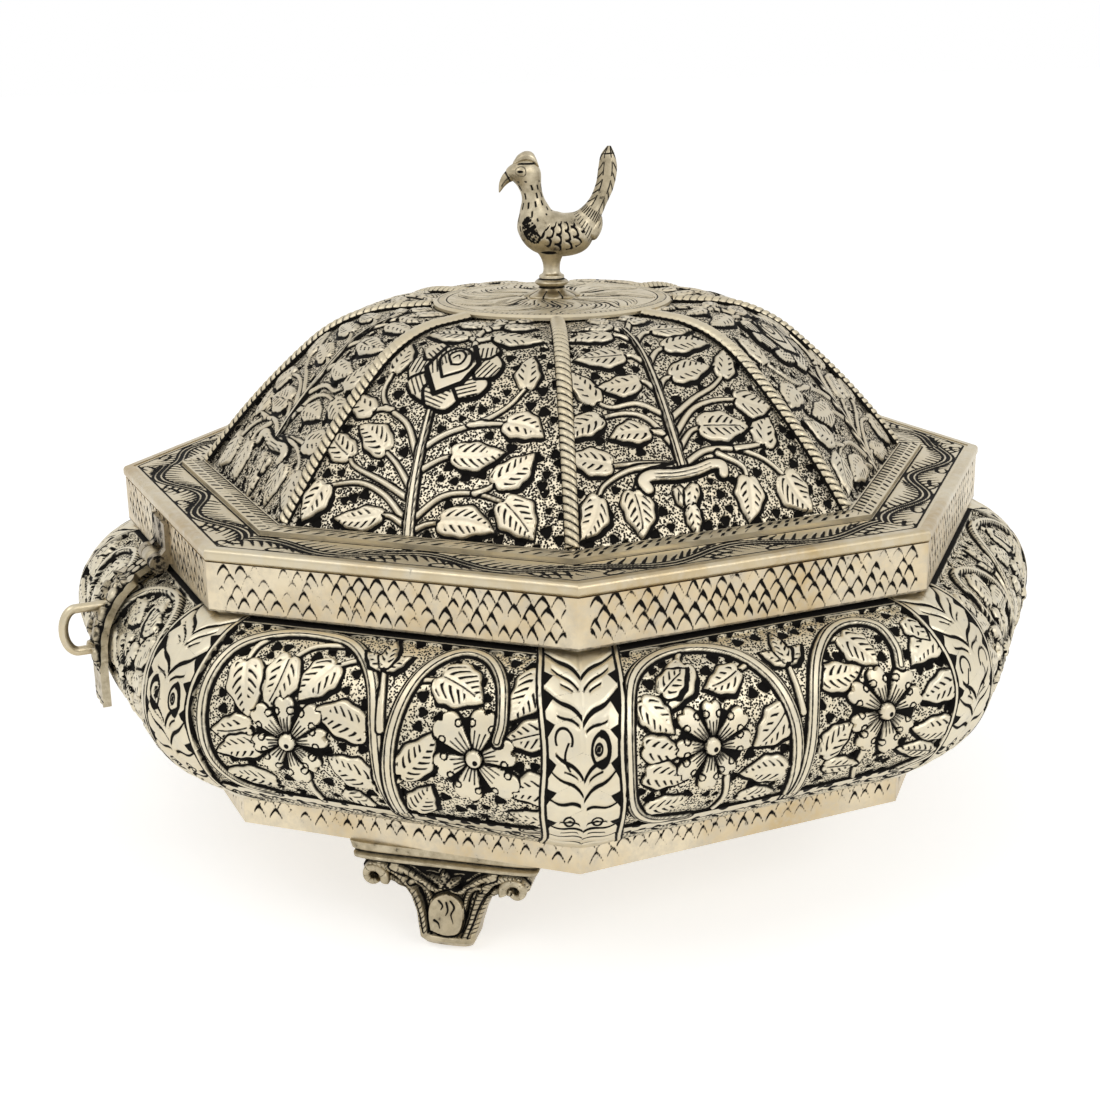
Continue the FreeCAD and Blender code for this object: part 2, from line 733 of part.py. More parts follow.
# Hasp lugs on the front of the skirt
front = -hinge_flat
lug_length, lug_place = 2.6, s.hasp_tongue_width / 2 + 1.5
body = new_body("hasp_lugs")
sketch = sketch_on(body, "YZ_Plane")
plate_low = hinge_level + s.lug_radius + 0.5
outline(sketch, [(-skirt_flat, plate_low), (-skirt_flat, skirt_top - 0.4),
                 (-skirt_flat - 0.9, skirt_top - 0.4), (-skirt_flat - 0.9, plate_low)])
pad(body, sketch, (lug_place + 1.3) * 2, both=True)
web = [(-skirt_flat, hinge_level - 0.2), (-skirt_flat, plate_low + 0.4),
       (-skirt_flat - 0.9, plate_low + 0.4), (front + 0.4, hinge_level + s.lug_radius * 0.9),
       (front + 0.2, hinge_level - 0.2)]
knuckles(body, front, hinge_level, s.lug_radius, web, [-lug_place, lug_place], size_of(lug_length))
bore_through(body, front, hinge_level, s.hasp_pin_radius + s.running_gap)
keep("hasp_lugs", body)
pin("hasp_pin", front, hinge_level, s.hasp_pin_radius, (lug_place + 1.35) * 2,
    s.hasp_pin_radius + 0.5, size_of(0.5))

# Hasp strap: follows the shoulder at a stand-off, then hangs straight down to a thumb tab
back_r = upper_radius + s.hasp_standoff
face_r = back_r + s.hasp_thick
centre_y = -upper_centre
pin_far = (pin_run * pin_run + pin_rise * pin_rise).root()


def on_strap(radius, degrees):
    # A point on the strap, so many degrees down from the line through the hasp's pin
    a = math.radians(degrees)
    run = (pin_run * math.cos(a) + pin_rise * math.sin(a)) / pin_far
    rise = (pin_rise * math.cos(a) - pin_run * math.sin(a)) / pin_far
    return (centre_y - radius * run, bulge_level + radius * rise)


def strap_section(degrees):
    tab_low = bulge_level - s.hasp_drop
    return [
        on_strap(back_r, degrees) + (back_r, 1),
        (centre_y - back_r, bulge_level),
        (centre_y - back_r, tab_low + 0.5),
        (centre_y - back_r - 0.5, tab_low),
        (centre_y - face_r + 0.3, tab_low),
        (centre_y - face_r, tab_low + 0.5),
        (centre_y - face_r, bulge_level, face_r, -1),
        on_strap(face_r, degrees),
    ]


body = new_body("hasp_strap")
sketch = sketch_on(body, "YZ_Plane")
outline(sketch, strap_section(0.0))
pad(body, sketch, s.hasp_tongue_width, both=True)
sketch = sketch_on(body, "YZ_Plane")
outline(sketch, strap_section(15.2))
pad(body, sketch, s.hasp_width, both=True)
sketch = sketch_on(body, "YZ_Plane")
disc(sketch, front, hinge_level, s.lug_radius)
pad(body, sketch, s.hasp_tongue_width, both=True)
bore_through(body, front, hinge_level, s.hasp_pin_radius + s.running_gap)
drill = sketch_on(body, "XZ_Plane")
for level in (loop_upper, loop_lower):
    disc(drill, 0, level, s.wire_radius + s.running_gap)
pocket(body, drill)
keep("hasp_strap", body)

# Wire locking pin: a U whose two legs slide in the strap and reach the holes in the front panel
body = new_body("wire_locking_pin")
bend = s.wire_bend
rise = s.loop_upper_rise
upper_end = centre_y - (back_r * back_r - rise * rise).root() - 0.4
lower_end = centre_y - back_r - 0.4
outer = centre_y - face_r - s.loop_reach + s.wire_radius
spine = sketch_on(body, "YZ_Plane")
outline(spine, [
    (upper_end, loop_upper),
    (outer + bend, loop_upper, bend, 1),
    (outer, loop_upper - bend),
    (outer, loop_lower + bend, bend, 1),
    (outer + bend, loop_lower),
    (lower_end, loop_lower),
], closed=False)
profile = sketch_on(body, "XZ_Plane", -upper_end)
disc(profile, 0, loop_upper, s.wire_radius)
sweep = body.newObject("PartDesign::AdditivePipe", "Sweep")
sweep.Profile = profile
sweep.Spine = spine
keep("wire_locking_pin", body)

# The origin is the middle of the whole outline, so the box stands back from it by half the clasp's reach
clasp_reach = face_r - centre_y + s.loop_reach
for thing in pieces.values():
    bind(thing, "Placement.Base.y", (clasp_reach - s.bulge_flat) / 2)
doc.recompute()

os.makedirs("parts", exist_ok=True)
faults = []
for thing in doc.Objects:
    if "Invalid" in thing.State or "Error" in thing.State:
        faults.append("%s: %s" % (thing.Label, thing.State))
for label, thing in pieces.items():
    shape = thing.Shape
    if shape.isNull() or not shape.isValid() or not shape.Solids:
        faults.append("%s has no sound solid" % label)
        continue
    shape.exportStep("parts/%s.step" % label)
    print("%-24s %10.1f mm3  %d solid" % (label, shape.Volume, len(shape.Solids)))
if faults:
    raise RuntimeError("; ".join(faults))
print(len(pieces), "pieces")
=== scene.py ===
import bpy
import math
import numpy as np
from mathutils import Matrix, Vector


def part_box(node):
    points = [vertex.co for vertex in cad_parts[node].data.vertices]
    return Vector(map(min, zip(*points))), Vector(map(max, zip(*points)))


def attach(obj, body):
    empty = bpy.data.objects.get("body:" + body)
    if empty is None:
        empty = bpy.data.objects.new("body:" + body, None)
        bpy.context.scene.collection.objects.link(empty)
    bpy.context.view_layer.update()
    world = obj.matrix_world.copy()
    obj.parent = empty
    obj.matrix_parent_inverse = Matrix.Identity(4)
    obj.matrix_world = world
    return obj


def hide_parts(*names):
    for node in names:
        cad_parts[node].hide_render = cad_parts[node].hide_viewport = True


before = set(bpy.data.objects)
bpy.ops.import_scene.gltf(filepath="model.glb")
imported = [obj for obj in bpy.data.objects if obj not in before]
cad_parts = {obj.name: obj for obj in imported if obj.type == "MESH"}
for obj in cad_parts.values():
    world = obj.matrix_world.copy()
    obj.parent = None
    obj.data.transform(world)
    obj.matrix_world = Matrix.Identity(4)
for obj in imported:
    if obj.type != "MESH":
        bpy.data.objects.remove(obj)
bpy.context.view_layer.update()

mm = 0.001
bandLow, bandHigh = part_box("base_band")
axisY = (bandLow.y + bandHigh.y) / 2 / mm  # the octagon's upright axis stands behind the origin
tanHalf = math.tan(math.pi / 8)
sideNames = ["right", "back_right", "back", "back_left", "left", "front_left", "front", "front_right"]


# Materials: aged silver with black left in the chased lines
silverTone = {"bright": (0.74, 0.67, 0.51), "warm": (0.58, 0.46, 0.28), "cool": (0.60, 0.57, 0.49),
              "patina": (0.010, 0.009, 0.008), "roughness": 0.43}


def nodeMaker(material):
    tree = material.node_tree
    tree.nodes.clear()

    def add(kind, links=None, **values):
        node = tree.nodes.new(kind)
        for key, value in values.items():
            setattr(node, key, value)
        for socket, source in (links or {}).items():
            if isinstance(source, bpy.types.NodeSocket):
                tree.links.new(source, node.inputs[socket])
            else:
                node.inputs[socket].default_value = source
        return node
    return add


def chasedMetal(name, lines=True, tone=None, tarnish=0.35, grain=0.5, pit=0.66,
                mottle=(0.45, 0.75, 0.5), punched=0.31):
    # dark = the drawn lines, or the speckle of small punch marks where the ground lies open, or single pits
    tone = dict(silverTone, **(tone or {}))
    material = bpy.data.materials.new(name)
    material.use_nodes = True
    add = nodeMaker(material)
    where = add("ShaderNodeTexCoord").outputs["Object"]

    def noise(scale, detail, roughness):
        values = {"Vector": where, "Scale": scale, "Detail": detail, "Roughness": roughness}
        return add("ShaderNodeTexNoise", values).outputs["Fac"]

    def ramp(value, low, high, first=0.0, last=1.0):
        values = {"Value": value, "From Min": low, "From Max": high, "To Min": first, "To Max": last}
        return add("ShaderNodeMapRange", values).outputs[0]

    def reckon(kind, *values):
        return add("ShaderNodeMath", dict(enumerate(values)), operation=kind).outputs[0]

    def blend(factor, first, last, kind="RGBA"):
        return add("ShaderNodeMix", {"Factor": factor, "A": first, "B": last},
                   data_type=kind).outputs["Result"]

    def attribute(label):
        return add("ShaderNodeAttribute", attribute_name=label, attribute_type="GEOMETRY").outputs["Fac"]

    broad, fine, pits = noise(45.0, 4.0, 0.6), noise(900.0, 3.0, 0.6), noise(330.0, 5.0, 0.7)
    metal = blend(ramp(broad, 0.42, 0.72, 0.0, tarnish), (*tone["bright"], 1), (*tone["warm"], 1))
    metal = blend(ramp(pits, mottle[0], mottle[1], 0.0, mottle[2]), metal, (*tone["cool"], 1))
    dark = ramp(pits, pit, pit + 0.08, 0.0, 0.75 * grain)
    if lines:
        line = ramp(reckon("ADD", attribute("ink"), reckon("MULTIPLY_ADD", fine, 0.16, -0.08)), 0.07, -0.05)
        # round punch marks: dark within a set distance of each cell's point, more in the duller patches
        cells = add("ShaderNodeTexVoronoi", {"Vector": where, "Scale": 2500.0, "Randomness": 1.0})
        punch = reckon("MULTIPLY_ADD", pits, -0.4, cells.outputs["Distance"])
        speckle = ramp(punch, punched, punched - 0.09, 0.0, 0.97)
        speckled = reckon("MULTIPLY", ramp(attribute("ground"), 0.0, 0.3), speckle)
        dark = reckon("MAXIMUM", reckon("MAXIMUM", line, speckled), dark)
    polish = ramp(fine, 0.3, 0.7, tone["roughness"] - 0.07, tone["roughness"] + 0.08)
    level = reckon("MULTIPLY_ADD", noise(190.0, 2.0, 0.5), 1.6, reckon("MULTIPLY_ADD", dark, -1.0, 1.0))
    level = reckon("MULTIPLY_ADD", pits, 0.5, level)
    bump = add("ShaderNodeBump", {"Height": level, "Strength": 0.5, "Distance": 0.00012})
    shader = add("ShaderNodeBsdfPrincipled", {
        "Base Color": blend(dark, metal, (*tone["patina"], 1)), "Metallic": ramp(dark, 0.0, 1.0, 1.0, 0.15),
        "Roughness": blend(dark, polish, 0.75, "FLOAT"), "Normal": bump.outputs[0],
        "Specular IOR Level": ramp(dark, 0.0, 1.0, 0.5, 0.06)})
    add("ShaderNodeOutputMaterial", {"Surface": shader.outputs[0]})
    return material


chasedSheet = chasedMetal("chasedSheet")
# a darker copy of the chased silver for the dome: painted shade, so that its upward-facing panels do not
# render brighter than the walls; its punch marks are also larger
shadedDomeSheet = chasedMetal("shadedDomeSheet", tone={"bright": (0.66, 0.59, 0.45)}, punched=0.36)
scaleSheet = chasedMetal("scaleSheet", tarnish=1.0, grain=0.9, mottle=(0.42, 0.66, 0.8),
                         tone={"bright": (0.74, 0.64, 0.46), "warm": (0.52, 0.39, 0.21),
                               "cool": (0.55, 0.49, 0.38), "roughness": 0.38})
engravedSheet = chasedMetal("engravedSheet", tone={"bright": (0.66, 0.58, 0.42), "warm": (0.48, 0.38, 0.22),
                                                   "cool": (0.50, 0.46, 0.37)})
castSilver = chasedMetal("castSilver", tarnish=0.8, grain=1.0, pit=0.62, mottle=(0.4, 0.62, 0.85),
                         tone={"bright": (0.60, 0.53, 0.39), "warm": (0.40, 0.32, 0.19),
                               "cool": (0.32, 0.27, 0.18), "roughness": 0.38})
plainSilver = chasedMetal("plainSilver", lines=False, tone={"roughness": 0.33}, grain=0.5)
polishedBead = chasedMetal("polishedBead", lines=False, grain=0.6, tarnish=1.0,
                           tone={"bright": (0.62, 0.54, 0.38), "warm": (0.46, 0.35, 0.19),
                                 "roughness": 0.36})
dirtyCast = chasedMetal("dirtyCast", lines=False, grain=1.33, tarnish=0.6, pit=0.5,
                        tone={"bright": (0.40, 0.34, 0.24), "warm": (0.22, 0.17, 0.10),
                              "cool": (0.10, 0.08, 0.06), "roughness": 0.4})
innerSilver = chasedMetal("innerSilver", lines=False, tarnish=0.7,
                          tone={"bright": (0.50, 0.45, 0.35), "roughness": 0.45})
print("materials ready")


# Meshes: grids of points in mm around the box's axis, gathered into one closed piece
def easing(x, low, high):
    t = np.clip((x - low) / (high - low), 0, 1)
    return t * t * (3 - 2 * t)


def facing(degrees):
    return math.cos(math.radians(degrees)), math.sin(math.radians(degrees))


def faceMean(field):
    # the mean of a field over the four corners of each face
    return (field[:-1, :-1] + field[1:, 1:] + field[:-1, 1:] + field[1:, :-1]) / 4


def addThing(name, data):
    thing = bpy.data.objects.new(name, data)
    bpy.context.scene.collection.objects.link(thing)
    return thing


class Piece:
    def __init__(self):
        self.points, self.faces, self.inks, self.grounds, self.count = [], [], [], [], 0

    def grid(self, points, ink=None, ground=None):
        shape = points.shape[:2]
        total = shape[0] * shape[1]
        self.points.append(points.reshape(-1, 3))
        self.inks.append(np.full(total, 3.0) if ink is None else np.asarray(ink).ravel())
        self.grounds.append(np.full(total, -1.0) if ground is None else np.asarray(ground).ravel())
        ids = np.arange(self.count, self.count + total).reshape(shape)
        self.count += total
        return ids

    def skin(self, ids, flip=False, missing=None):
        quads = np.stack([ids[:-1, :-1], ids[:-1, 1:], ids[1:, 1:], ids[1:, :-1]], -1).reshape(-1, 4)
        if missing is not None:
            quads = quads[~missing.ravel()]
        self.faces.append(quads[:, ::-1] if flip else quads)

    def ring(self, ids, flip=False):
        # a skin closed round both ways
        ids = np.vstack([ids, ids[:1]])
        self.skin(np.hstack([ids, ids[:, :1]]), flip)

    def face(self, ids, flip=False):
        ids = np.asarray(ids).reshape(1, -1)
        self.faces.append(ids[:, ::-1] if flip else ids)

    def build(self, name, material, body, nodes, sharp=60):
        points = np.concatenate(self.points) + np.array([0, axisY, 0])
        mesh = bpy.data.meshes.new(name)
        mesh.vertices.add(len(points))
        mesh.vertices.foreach_set("co", (points * mm).ravel())
        corners = np.concatenate([f.ravel() for f in self.faces])
        totals = np.concatenate([np.full(len(f), f.shape[1]) for f in self.faces])
        mesh.loops.add(len(corners))
        mesh.loops.foreach_set("vertex_index", corners.astype(np.int32))
        mesh.polygons.add(len(totals))
        mesh.polygons.foreach_set("loop_start",
                                  np.concatenate([[0], np.cumsum(totals)[:-1]]).astype(np.int32))
        mesh.polygons.foreach_set("use_smooth", np.ones(len(totals), dtype=bool))
        mesh.update(calc_edges=True)
        for label, values in (("ink", self.inks), ("ground", self.grounds)):
            mesh.attributes.new(label, "FLOAT", "POINT").data.foreach_set("value", np.concatenate(values))
        mesh.set_sharp_from_angle(angle=math.radians(sharp))
        mesh.materials.append(material)
        thing = addThing(name, mesh)
        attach(thing, body)
        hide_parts(*nodes)


def curve(points, steps=8):
    # Catmull-Rom: each stretch bends by the points on either side of it
    p = np.asarray(points, float)
    if len(p) == 2:
        return p
    p = np.vstack([2 * p[0] - p[1], p, 2 * p[-1] - p[-2]])
    t = np.linspace(0, 1, steps, endpoint=False)[:, None]
    a, b, c, d = (p[i:len(p) - 3 + i, None] for i in range(4))
    run = 0.5 * (2 * b + (c - a) * t + (2 * a - 5 * b + 4 * c - d) * t ** 2
                 + (3 * b - a - 3 * c + d) * t ** 3)
    return np.vstack([run.reshape(-1, p.shape[1]), p[-2:-1]])


def alongPath(x, y, path):
    # distance to a polyline, how far along it the nearest point lies, and its whole length
    steps = np.diff(path, axis=0)
    sizes = np.hypot(steps[:, 0], steps[:, 1])
    best, way, start = np.full(x.shape, 1e9), np.zeros(x.shape), 0.0
    for (ax, ay), (dx, dy), size in zip(path[:-1], steps, sizes):
        if size < 1e-6:
            continue
        t = np.clip(((x - ax) * dx + (y - ay) * dy) / size ** 2, 0, 1)
        far = np.hypot(x - ax - t * dx, y - ay - t * dy)
        nearer = far < best
        best, way = np.where(nearer, far, best), np.where(nearer, start + t * size, way)
        start += size
    return best, way, start


def polygonGap(x, y, corners):
    # signed distance to a closed outline, below 0 inside it
    corners = np.asarray(corners, float)
    best, inside = np.full(x.shape, 1e9), np.zeros(x.shape, bool)
    for (ax, ay), (bx, by) in zip(corners, np.roll(corners, -1, axis=0)):
        dx, dy = bx - ax, by - ay
        t = np.clip(((x - ax) * dx + (y - ay) * dy) / (dx * dx + dy * dy + 1e-9), 0, 1)
        best = np.minimum(best, np.hypot(x - ax - t * dx, y - ay - t * dy))
        crosses = (ay > y) != (by > y)
        inside ^= crosses & (x < ax + (y - ay) / (dy if abs(dy) > 1e-9 else 1e-9) * dx)
    return np.where(inside, -best, best)


def chance(cell, salt):
    # the same number from 0 to 1 for the same cell on every run
    value = np.sin(cell * 12.9898 + salt * 78.233) * 43758.5453
    return value - np.floor(value)


class Chasing:
    # A drawing on flat metal, in mm. Every mark sets three fields: raised is the height of the metal,
    # ink the distance to a black line (below 0 inside it), ground the distance outside all raised work.
    shadow = (0.55, -0.83)

    def __init__(self, u, v, floor=-0.5, sense=1):
        self.shape, self.sense = u.shape, sense
        self.u, self.v, self.floor = u.ravel(), v.ravel(), floor
        self.raised = np.full(self.u.shape, float(floor))
        self.ink = np.full(self.u.shape, 3.0)
        self.ground = np.full(self.u.shape, 3.0)

    def near(self, x0, x1, y0, y1):
        return np.flatnonzero((self.u > x0) & (self.u < x1) & (self.v > y0) & (self.v < y1))

    def around(self, path, room):
        low, high = np.min(path, axis=0) - room, np.max(path, axis=0) + room
        return self.near(low[0], high[0], low[1], high[1])

    def mark(self, ink):
        self.ink = np.minimum(self.ink, ink)

    def lay(self, i, out, high, ink, edge=0.4):
        # paint a mark over what is there: out is its signed outline, high its height inside
        rise = self.floor + (high - self.floor) * easing(-out, -0.12, edge)
        self.raised[i] = np.where(out < edge, np.maximum(self.raised[i], rise), self.raised[i])
        self.ink[i] = np.where(out < 0, ink, np.minimum(self.ink[i], ink))
        self.ground[i] = np.minimum(self.ground[i], out)

    def cut(self, points, width, tail=0.35, smooth=True):
        # a graver stroke that is widest near its start and thins to its tail
        path = curve(points, 5) if smooth else np.asarray(points, float)
        i = self.around(path, width + 0.6)
        far, way, length = alongPath(self.u[i], self.v[i], path)
        wide = width * (1 - (1 - tail) * (way / length) ** 1.5) / 2
        self.ink[i] = np.minimum(self.ink[i], far - wide)
        self.raised[i] -= 0.12 * easing(wide + 0.1 - far, 0, 0.2)

    def stem(self, points, wide, thin, high=0.18, line=0.19, inner=False):
        path = curve(points)
        i = self.around(path, wide + 0.9)
        far, way, length = alongPath(self.u[i], self.v[i], path)
        half = (wide + (thin - wide) * way / length) / 2
        out = far - half
        ink = np.abs(out - 0.06) - line
        if inner:
            ink = np.minimum(ink, np.abs(far - half * 0.46) - 0.13)
        self.lay(i, out, high - 0.08 * (far / (half + 0.1)) ** 2, ink)

    def leaf(self, x, y, degrees, length, width, seed=0.0, high=0.2, strokes=1.32, bend=0.0, rib=False):
        # heart-shaped: two lobes behind the stalk, half width = sin(pi t^0.64)^0.9 along it,
        # drawn out to a point
        c, s = facing(degrees)
        reach = length * 0.5 + width * 0.5 + 1.2
        mx, my = x + c * length / 2, y + s * length / 2
        i = self.near(mx - reach, mx + reach, my - reach, my + reach)
        du, dv = self.u[i] - x, self.v[i] - y
        a, b = du * c + dv * s, dv * c - du * s
        b = b - bend * width * np.sin(np.pi * np.clip(a / length, 0, 1) * 0.9)
        wide = np.abs(b)
        lobe = 0.15 * width * np.sin(np.pi * np.clip(wide / (0.5 * width), 0, 1))
        a = a + lobe * np.clip(1 - 2 * a / length, 0, 1)
        t = np.clip(a / length, 0, 1)
        half = width / 2 * np.sin(np.pi * t ** 0.64) ** 0.9 * (1 + 0.07 * np.sin(t * 17 + seed * 5))
        over = np.maximum(np.maximum(-a, a - length), 0)
        out = np.where(over > 0, np.hypot(over, b), (wide - half) * 0.82)
        side = np.sign(b)
        shade = np.maximum(0, side * (-s * self.shadow[0] + c * self.shadow[1]))
        line = 0.19 + 0.24 * shade
        rim = np.abs(out - line * 0.7) - line
        veins = (a - wide * (0.7 + 0.3 * wide / (half + 0.1)) + 0.35 * side * strokes) / strokes + seed
        gap = np.abs(veins - np.floor(veins) - 0.5) * strokes * 0.74
        inner, outer = 0.14 + 0.16 * chance(seed, 1), 0.6 + 0.2 * chance(seed, 2)
        span = np.maximum(inner * half - wide, wide - outer * half)
        lighter = side * math.sin(seed * 9 + 1) > 0
        reached = np.abs(t - np.where(lighter, 0.42, 0.5)) - np.where(lighter, 0.24, 0.4)
        marks = np.maximum(gap - 0.2 + 0.09 * wide / (half + 0.1), np.maximum(span, reached * length))
        if rib:
            marks = np.minimum(marks, np.maximum(wide - 0.13, (np.abs(t - 0.42) - 0.38) * length))
        crown = high * (0.85 + 0.25 * (1 - np.clip(wide / (half + 0.05), 0, 1) ** 2))
        crown = crown - 0.08 * np.exp(-(b / 0.4) ** 2) - 0.06 * easing(0.25 - gap, 0, 0.2) * (span < 0)
        self.lay(i, out, crown, np.minimum(rim, marks))

    def dot(self, x, y, size=0.62, seed=0.0):
        i = self.near(x - 2, x + 2, y - 2, y + 2)
        du, dv = self.u[i] - x, self.v[i] - y
        turn = np.arctan2(dv, du)
        out = np.hypot(du, dv) - size * (1 + 0.16 * np.cos(3 * turn + seed * 2.3))
        self.ink[i] = np.where(self.ground[i] > 0.05, np.minimum(self.ink[i], out), self.ink[i])
        self.raised[i] -= 0.45 * easing(0.15 - out, 0, 0.35) * (self.ground[i] > 0.1)

    def scatter(self, half, length):
        # black dots on a jittered grid wherever the ground lies open
        spacing, room = 2.7, 0.85
        rows, columns = self.shape
        far = half.max()
        x, y = np.meshgrid(np.arange(-far, far, spacing), np.arange(0.5, length, spacing * 0.86))
        k = np.arange(x.size).reshape(x.shape)
        x = x + spacing / 2 * (np.arange(len(x)) % 2)[:, None] + 1.1 * (chance(k, 1) - 0.5)
        y = y + 1.1 * (chance(k, 2) - 0.5)
        i = np.clip(np.round(y / length * (rows - 1)), 0, rows - 1).astype(int)
        wide = half[i, 0]
        j = np.round((x / wide * self.sense + 1) / 2 * (columns - 1)).astype(int)
        good = (j >= 0) & (j < columns)
        at = i * columns + np.clip(j, 0, columns - 1)
        good &= (self.ground[at] > room) & (self.ink[at] > 0.9) & (chance(k, 3) > 0.15)
        for px, py, n in zip(x[good], y[good], k[good]):
            self.dot(px, py, 0.62 + 0.36 * chance(n, 4), n)

    def petal(self, x, y, degrees, start, end, width):
        # a petal that widens outwards to a notched end, shaded by fine strokes at its root,
        # with a small ring on each flank
        curl = 0.6
        c, s = facing(degrees)
        i = self.near(x - end - 2, x + end + 2, y - end - 2, y + end + 2)
        du, dv = self.u[i] - x, self.v[i] - y
        a, b = du * c + dv * s, dv * c - du * s
        tip = end - 0.7 * np.exp(-(b / 0.55) ** 2)
        t = np.clip((a - start) / (tip - start), 0, 1)
        half = width / 2 * (0.3 + 0.78 * t ** 0.85) * np.sqrt(np.clip(1.06 - t ** 6, 0.02, 1))
        over = np.maximum(np.maximum(start - a, a - tip), 0)
        out = np.hypot(over, np.maximum(np.abs(b) - half, 0)) + np.minimum(np.abs(b) - half, 0) * (over == 0)
        fan = b / (half + 0.05) * 2.2
        hatch = np.maximum(np.abs(fan - np.round(fan)) * half / 2.2 - 0.13,
                           np.abs(t - 0.22) * (end - start) - 0.24 * (end - start))
        ink = np.minimum(np.abs(out - 0.1) - 0.23, np.maximum(hatch, out + 0.1))
        ring = np.hypot(a - start - 0.6 * (end - start), np.abs(b) - width * 0.3)
        ink = np.where(ring < curl + 0.2, np.abs(ring - curl) - 0.18, ink)
        high = 0.32 + 0.1 * t - 0.14 * (b / (half + 0.2)) ** 2 + 0.2 * easing(curl - ring, 0, 0.5)
        self.lay(i, out, high, ink)

    def bead(self, x, y, size, high, hole=0.0, line=0.15):
        i = self.near(x - size - 1, x + size + 1, y - size - 1, y + size + 1)
        du, dv = self.u[i] - x, self.v[i] - y
        far = np.hypot(du, dv)
        out = far - size
        ink = np.abs(out - line * 0.6) - line
        if hole:
            ink = np.minimum(ink, np.hypot(du - size * 0.2, dv + size * 0.25) - hole)
        self.lay(i, out, high + 0.35 * size * np.sqrt(np.clip(1 - (far / size) ** 2, 0, 1)), ink, edge=0.3)

    def flower(self, x, y, size, count, first=90.0):
        # black first, so that the gaps between the petals stay dark
        i = self.near(x - size, x + size, y - size, y + size)
        self.ink[i] = np.minimum(self.ink[i], np.hypot(self.u[i] - x, self.v[i] - y) - 0.84 * size)
        for k in range(count):
            far = size * (1 + 0.1 * math.sin(k * 2.1))
            self.petal(x, y, first + 360.0 * k / count + 5 * math.sin(k * 3.3), 1.5, far, 4.4 * far / count)
        self.bead(x, y, 1.5, 0.6, hole=0.42, line=0.2)

    def plate(self, corners, high=0.3, hatch=None, line=0.2, smooth=False):
        # a raised shape with a heavy outline; hatch = (degrees, spacing, share of it that is shaded)
        path = np.asarray(corners, float)
        if smooth:
            path = curve(np.vstack([path, path[:1]]), 5)[:-1]
        i = self.around(path, 1.2)
        x, y = self.u[i], self.v[i]
        out = polygonGap(x, y, path)
        ink = np.abs(out - 0.08) - line
        if hatch:
            degrees, spacing, share = hatch
            c, s = facing(degrees)
            middle = path.mean(axis=0)
            dx, dy = x - middle[0], y - middle[1]
            along, across = dx * c + dy * s, dy * c - dx * s
            reach = np.abs((path - middle) @ np.array([c, s])).max()
            gap = np.abs(across / spacing - np.floor(across / spacing) - 0.5) * spacing
            span = np.maximum(along - reach * (2 * share - 1), out + 0.3)
            ink = np.minimum(ink, np.maximum(gap - 0.15, span))
        self.lay(i, out, high, ink)

    def plain(self, mask, height=0.0):
        # an area left as smooth metal
        self.ground[mask] = -1.0
        self.raised[mask] = height

    def field(self, name):
        return getattr(self, name).reshape(self.shape)


def sectionRun(section):
    # points of a wall section with the length along it and the outward normal at each
    steps = np.diff(section, axis=0)
    run = np.concatenate([[0], np.cumsum(np.hypot(steps[:, 0], steps[:, 1]))])
    slope = np.gradient(section, run, axis=0)
    slope /= np.hypot(slope[:, 0], slope[:, 1])[:, None]
    return run, np.stack([slope[:, 1], -slope[:, 0]], -1)


def arcBetween(start, finish, radius):
    # points of the arc with this radius that turns left from start to finish
    p, q = np.array(start, float), np.array(finish, float)
    d = q - p
    chord = np.hypot(*d)
    centre = (p + q) / 2 + np.array([-d[1], d[0]]) / chord * math.sqrt(radius ** 2 - chord ** 2 / 4)
    a0, a1 = math.atan2(*(p - centre)[::-1]), math.atan2(*(q - centre)[::-1])
    a = np.linspace(a0, a1 + (2 * math.pi if a1 < a0 else 0), 120)
    return np.stack([centre[0] + radius * np.cos(a), centre[1] + radius * np.sin(a)], -1)


def standUp(flat, across, level, degrees):
    # a point at distance flat from the axis, across to the right of a side's middle, turned to that side
    c, s = facing(degrees)
    return np.stack([flat * c - across * s, flat * s + across * c, level], -1)


def turned(radius, turn, level):
    # points at these turns round the axis
    x, y, z = radius * np.cos(turn), radius * np.sin(turn), level + 0 * turn
    return np.stack(np.broadcast_arrays(x, y, z), -1)


def slab(piece, front, back, ink, ground, missing=None):
    # two skins of the same grid, joined wherever a face has no neighbour
    a, b = piece.grid(front, ink, ground), piece.grid(back)
    piece.skin(a, missing=missing)
    piece.skin(b, flip=True, missing=missing)
    present = np.ones((a.shape[0] - 1, a.shape[1] - 1), bool) if missing is None else ~missing
    ring = np.pad(present, 1)
    for beside, (pr, pc), (qr, qc) in ((ring[:-2, 1:-1], (0, 0), (0, 1)), (ring[1:-1, 2:], (0, 1), (1, 1)),
                                       (ring[2:, 1:-1], (1, 1), (1, 0)), (ring[1:-1, :-2], (1, 0), (0, 0))):
        r, c = np.nonzero(present & ~beside)
        piece.faces.append(np.stack([a[r + qr, c + qc], a[r + pr, c + pc],
                                     b[r + pr, c + pc], b[r + qr, c + qc]], -1))


def tube(piece, rings, ink=None, ground=None):
    # a closed skin round a row of rings, capped at both ends, turned outwards by its signed volume
    ids = piece.grid(rings, ink, ground)
    wrapped = np.hstack([ids, ids[:, :1]])
    p = np.concatenate([rings, rings[:, :1]], axis=1)
    p = p - p.mean(axis=(0, 1))
    volume = np.einsum("ijk,ijk->", p[:-1, :-1], np.cross(p[:-1, 1:], p[1:, 1:]))
    volume += np.einsum("ijk,ijk->", p[:-1, :-1], np.cross(p[1:, 1:], p[1:, :-1]))
    flip = bool(volume < 0)
    piece.skin(wrapped, flip=flip)
    piece.face(ids[0], flip=not flip)
    piece.face(ids[-1], flip=flip)


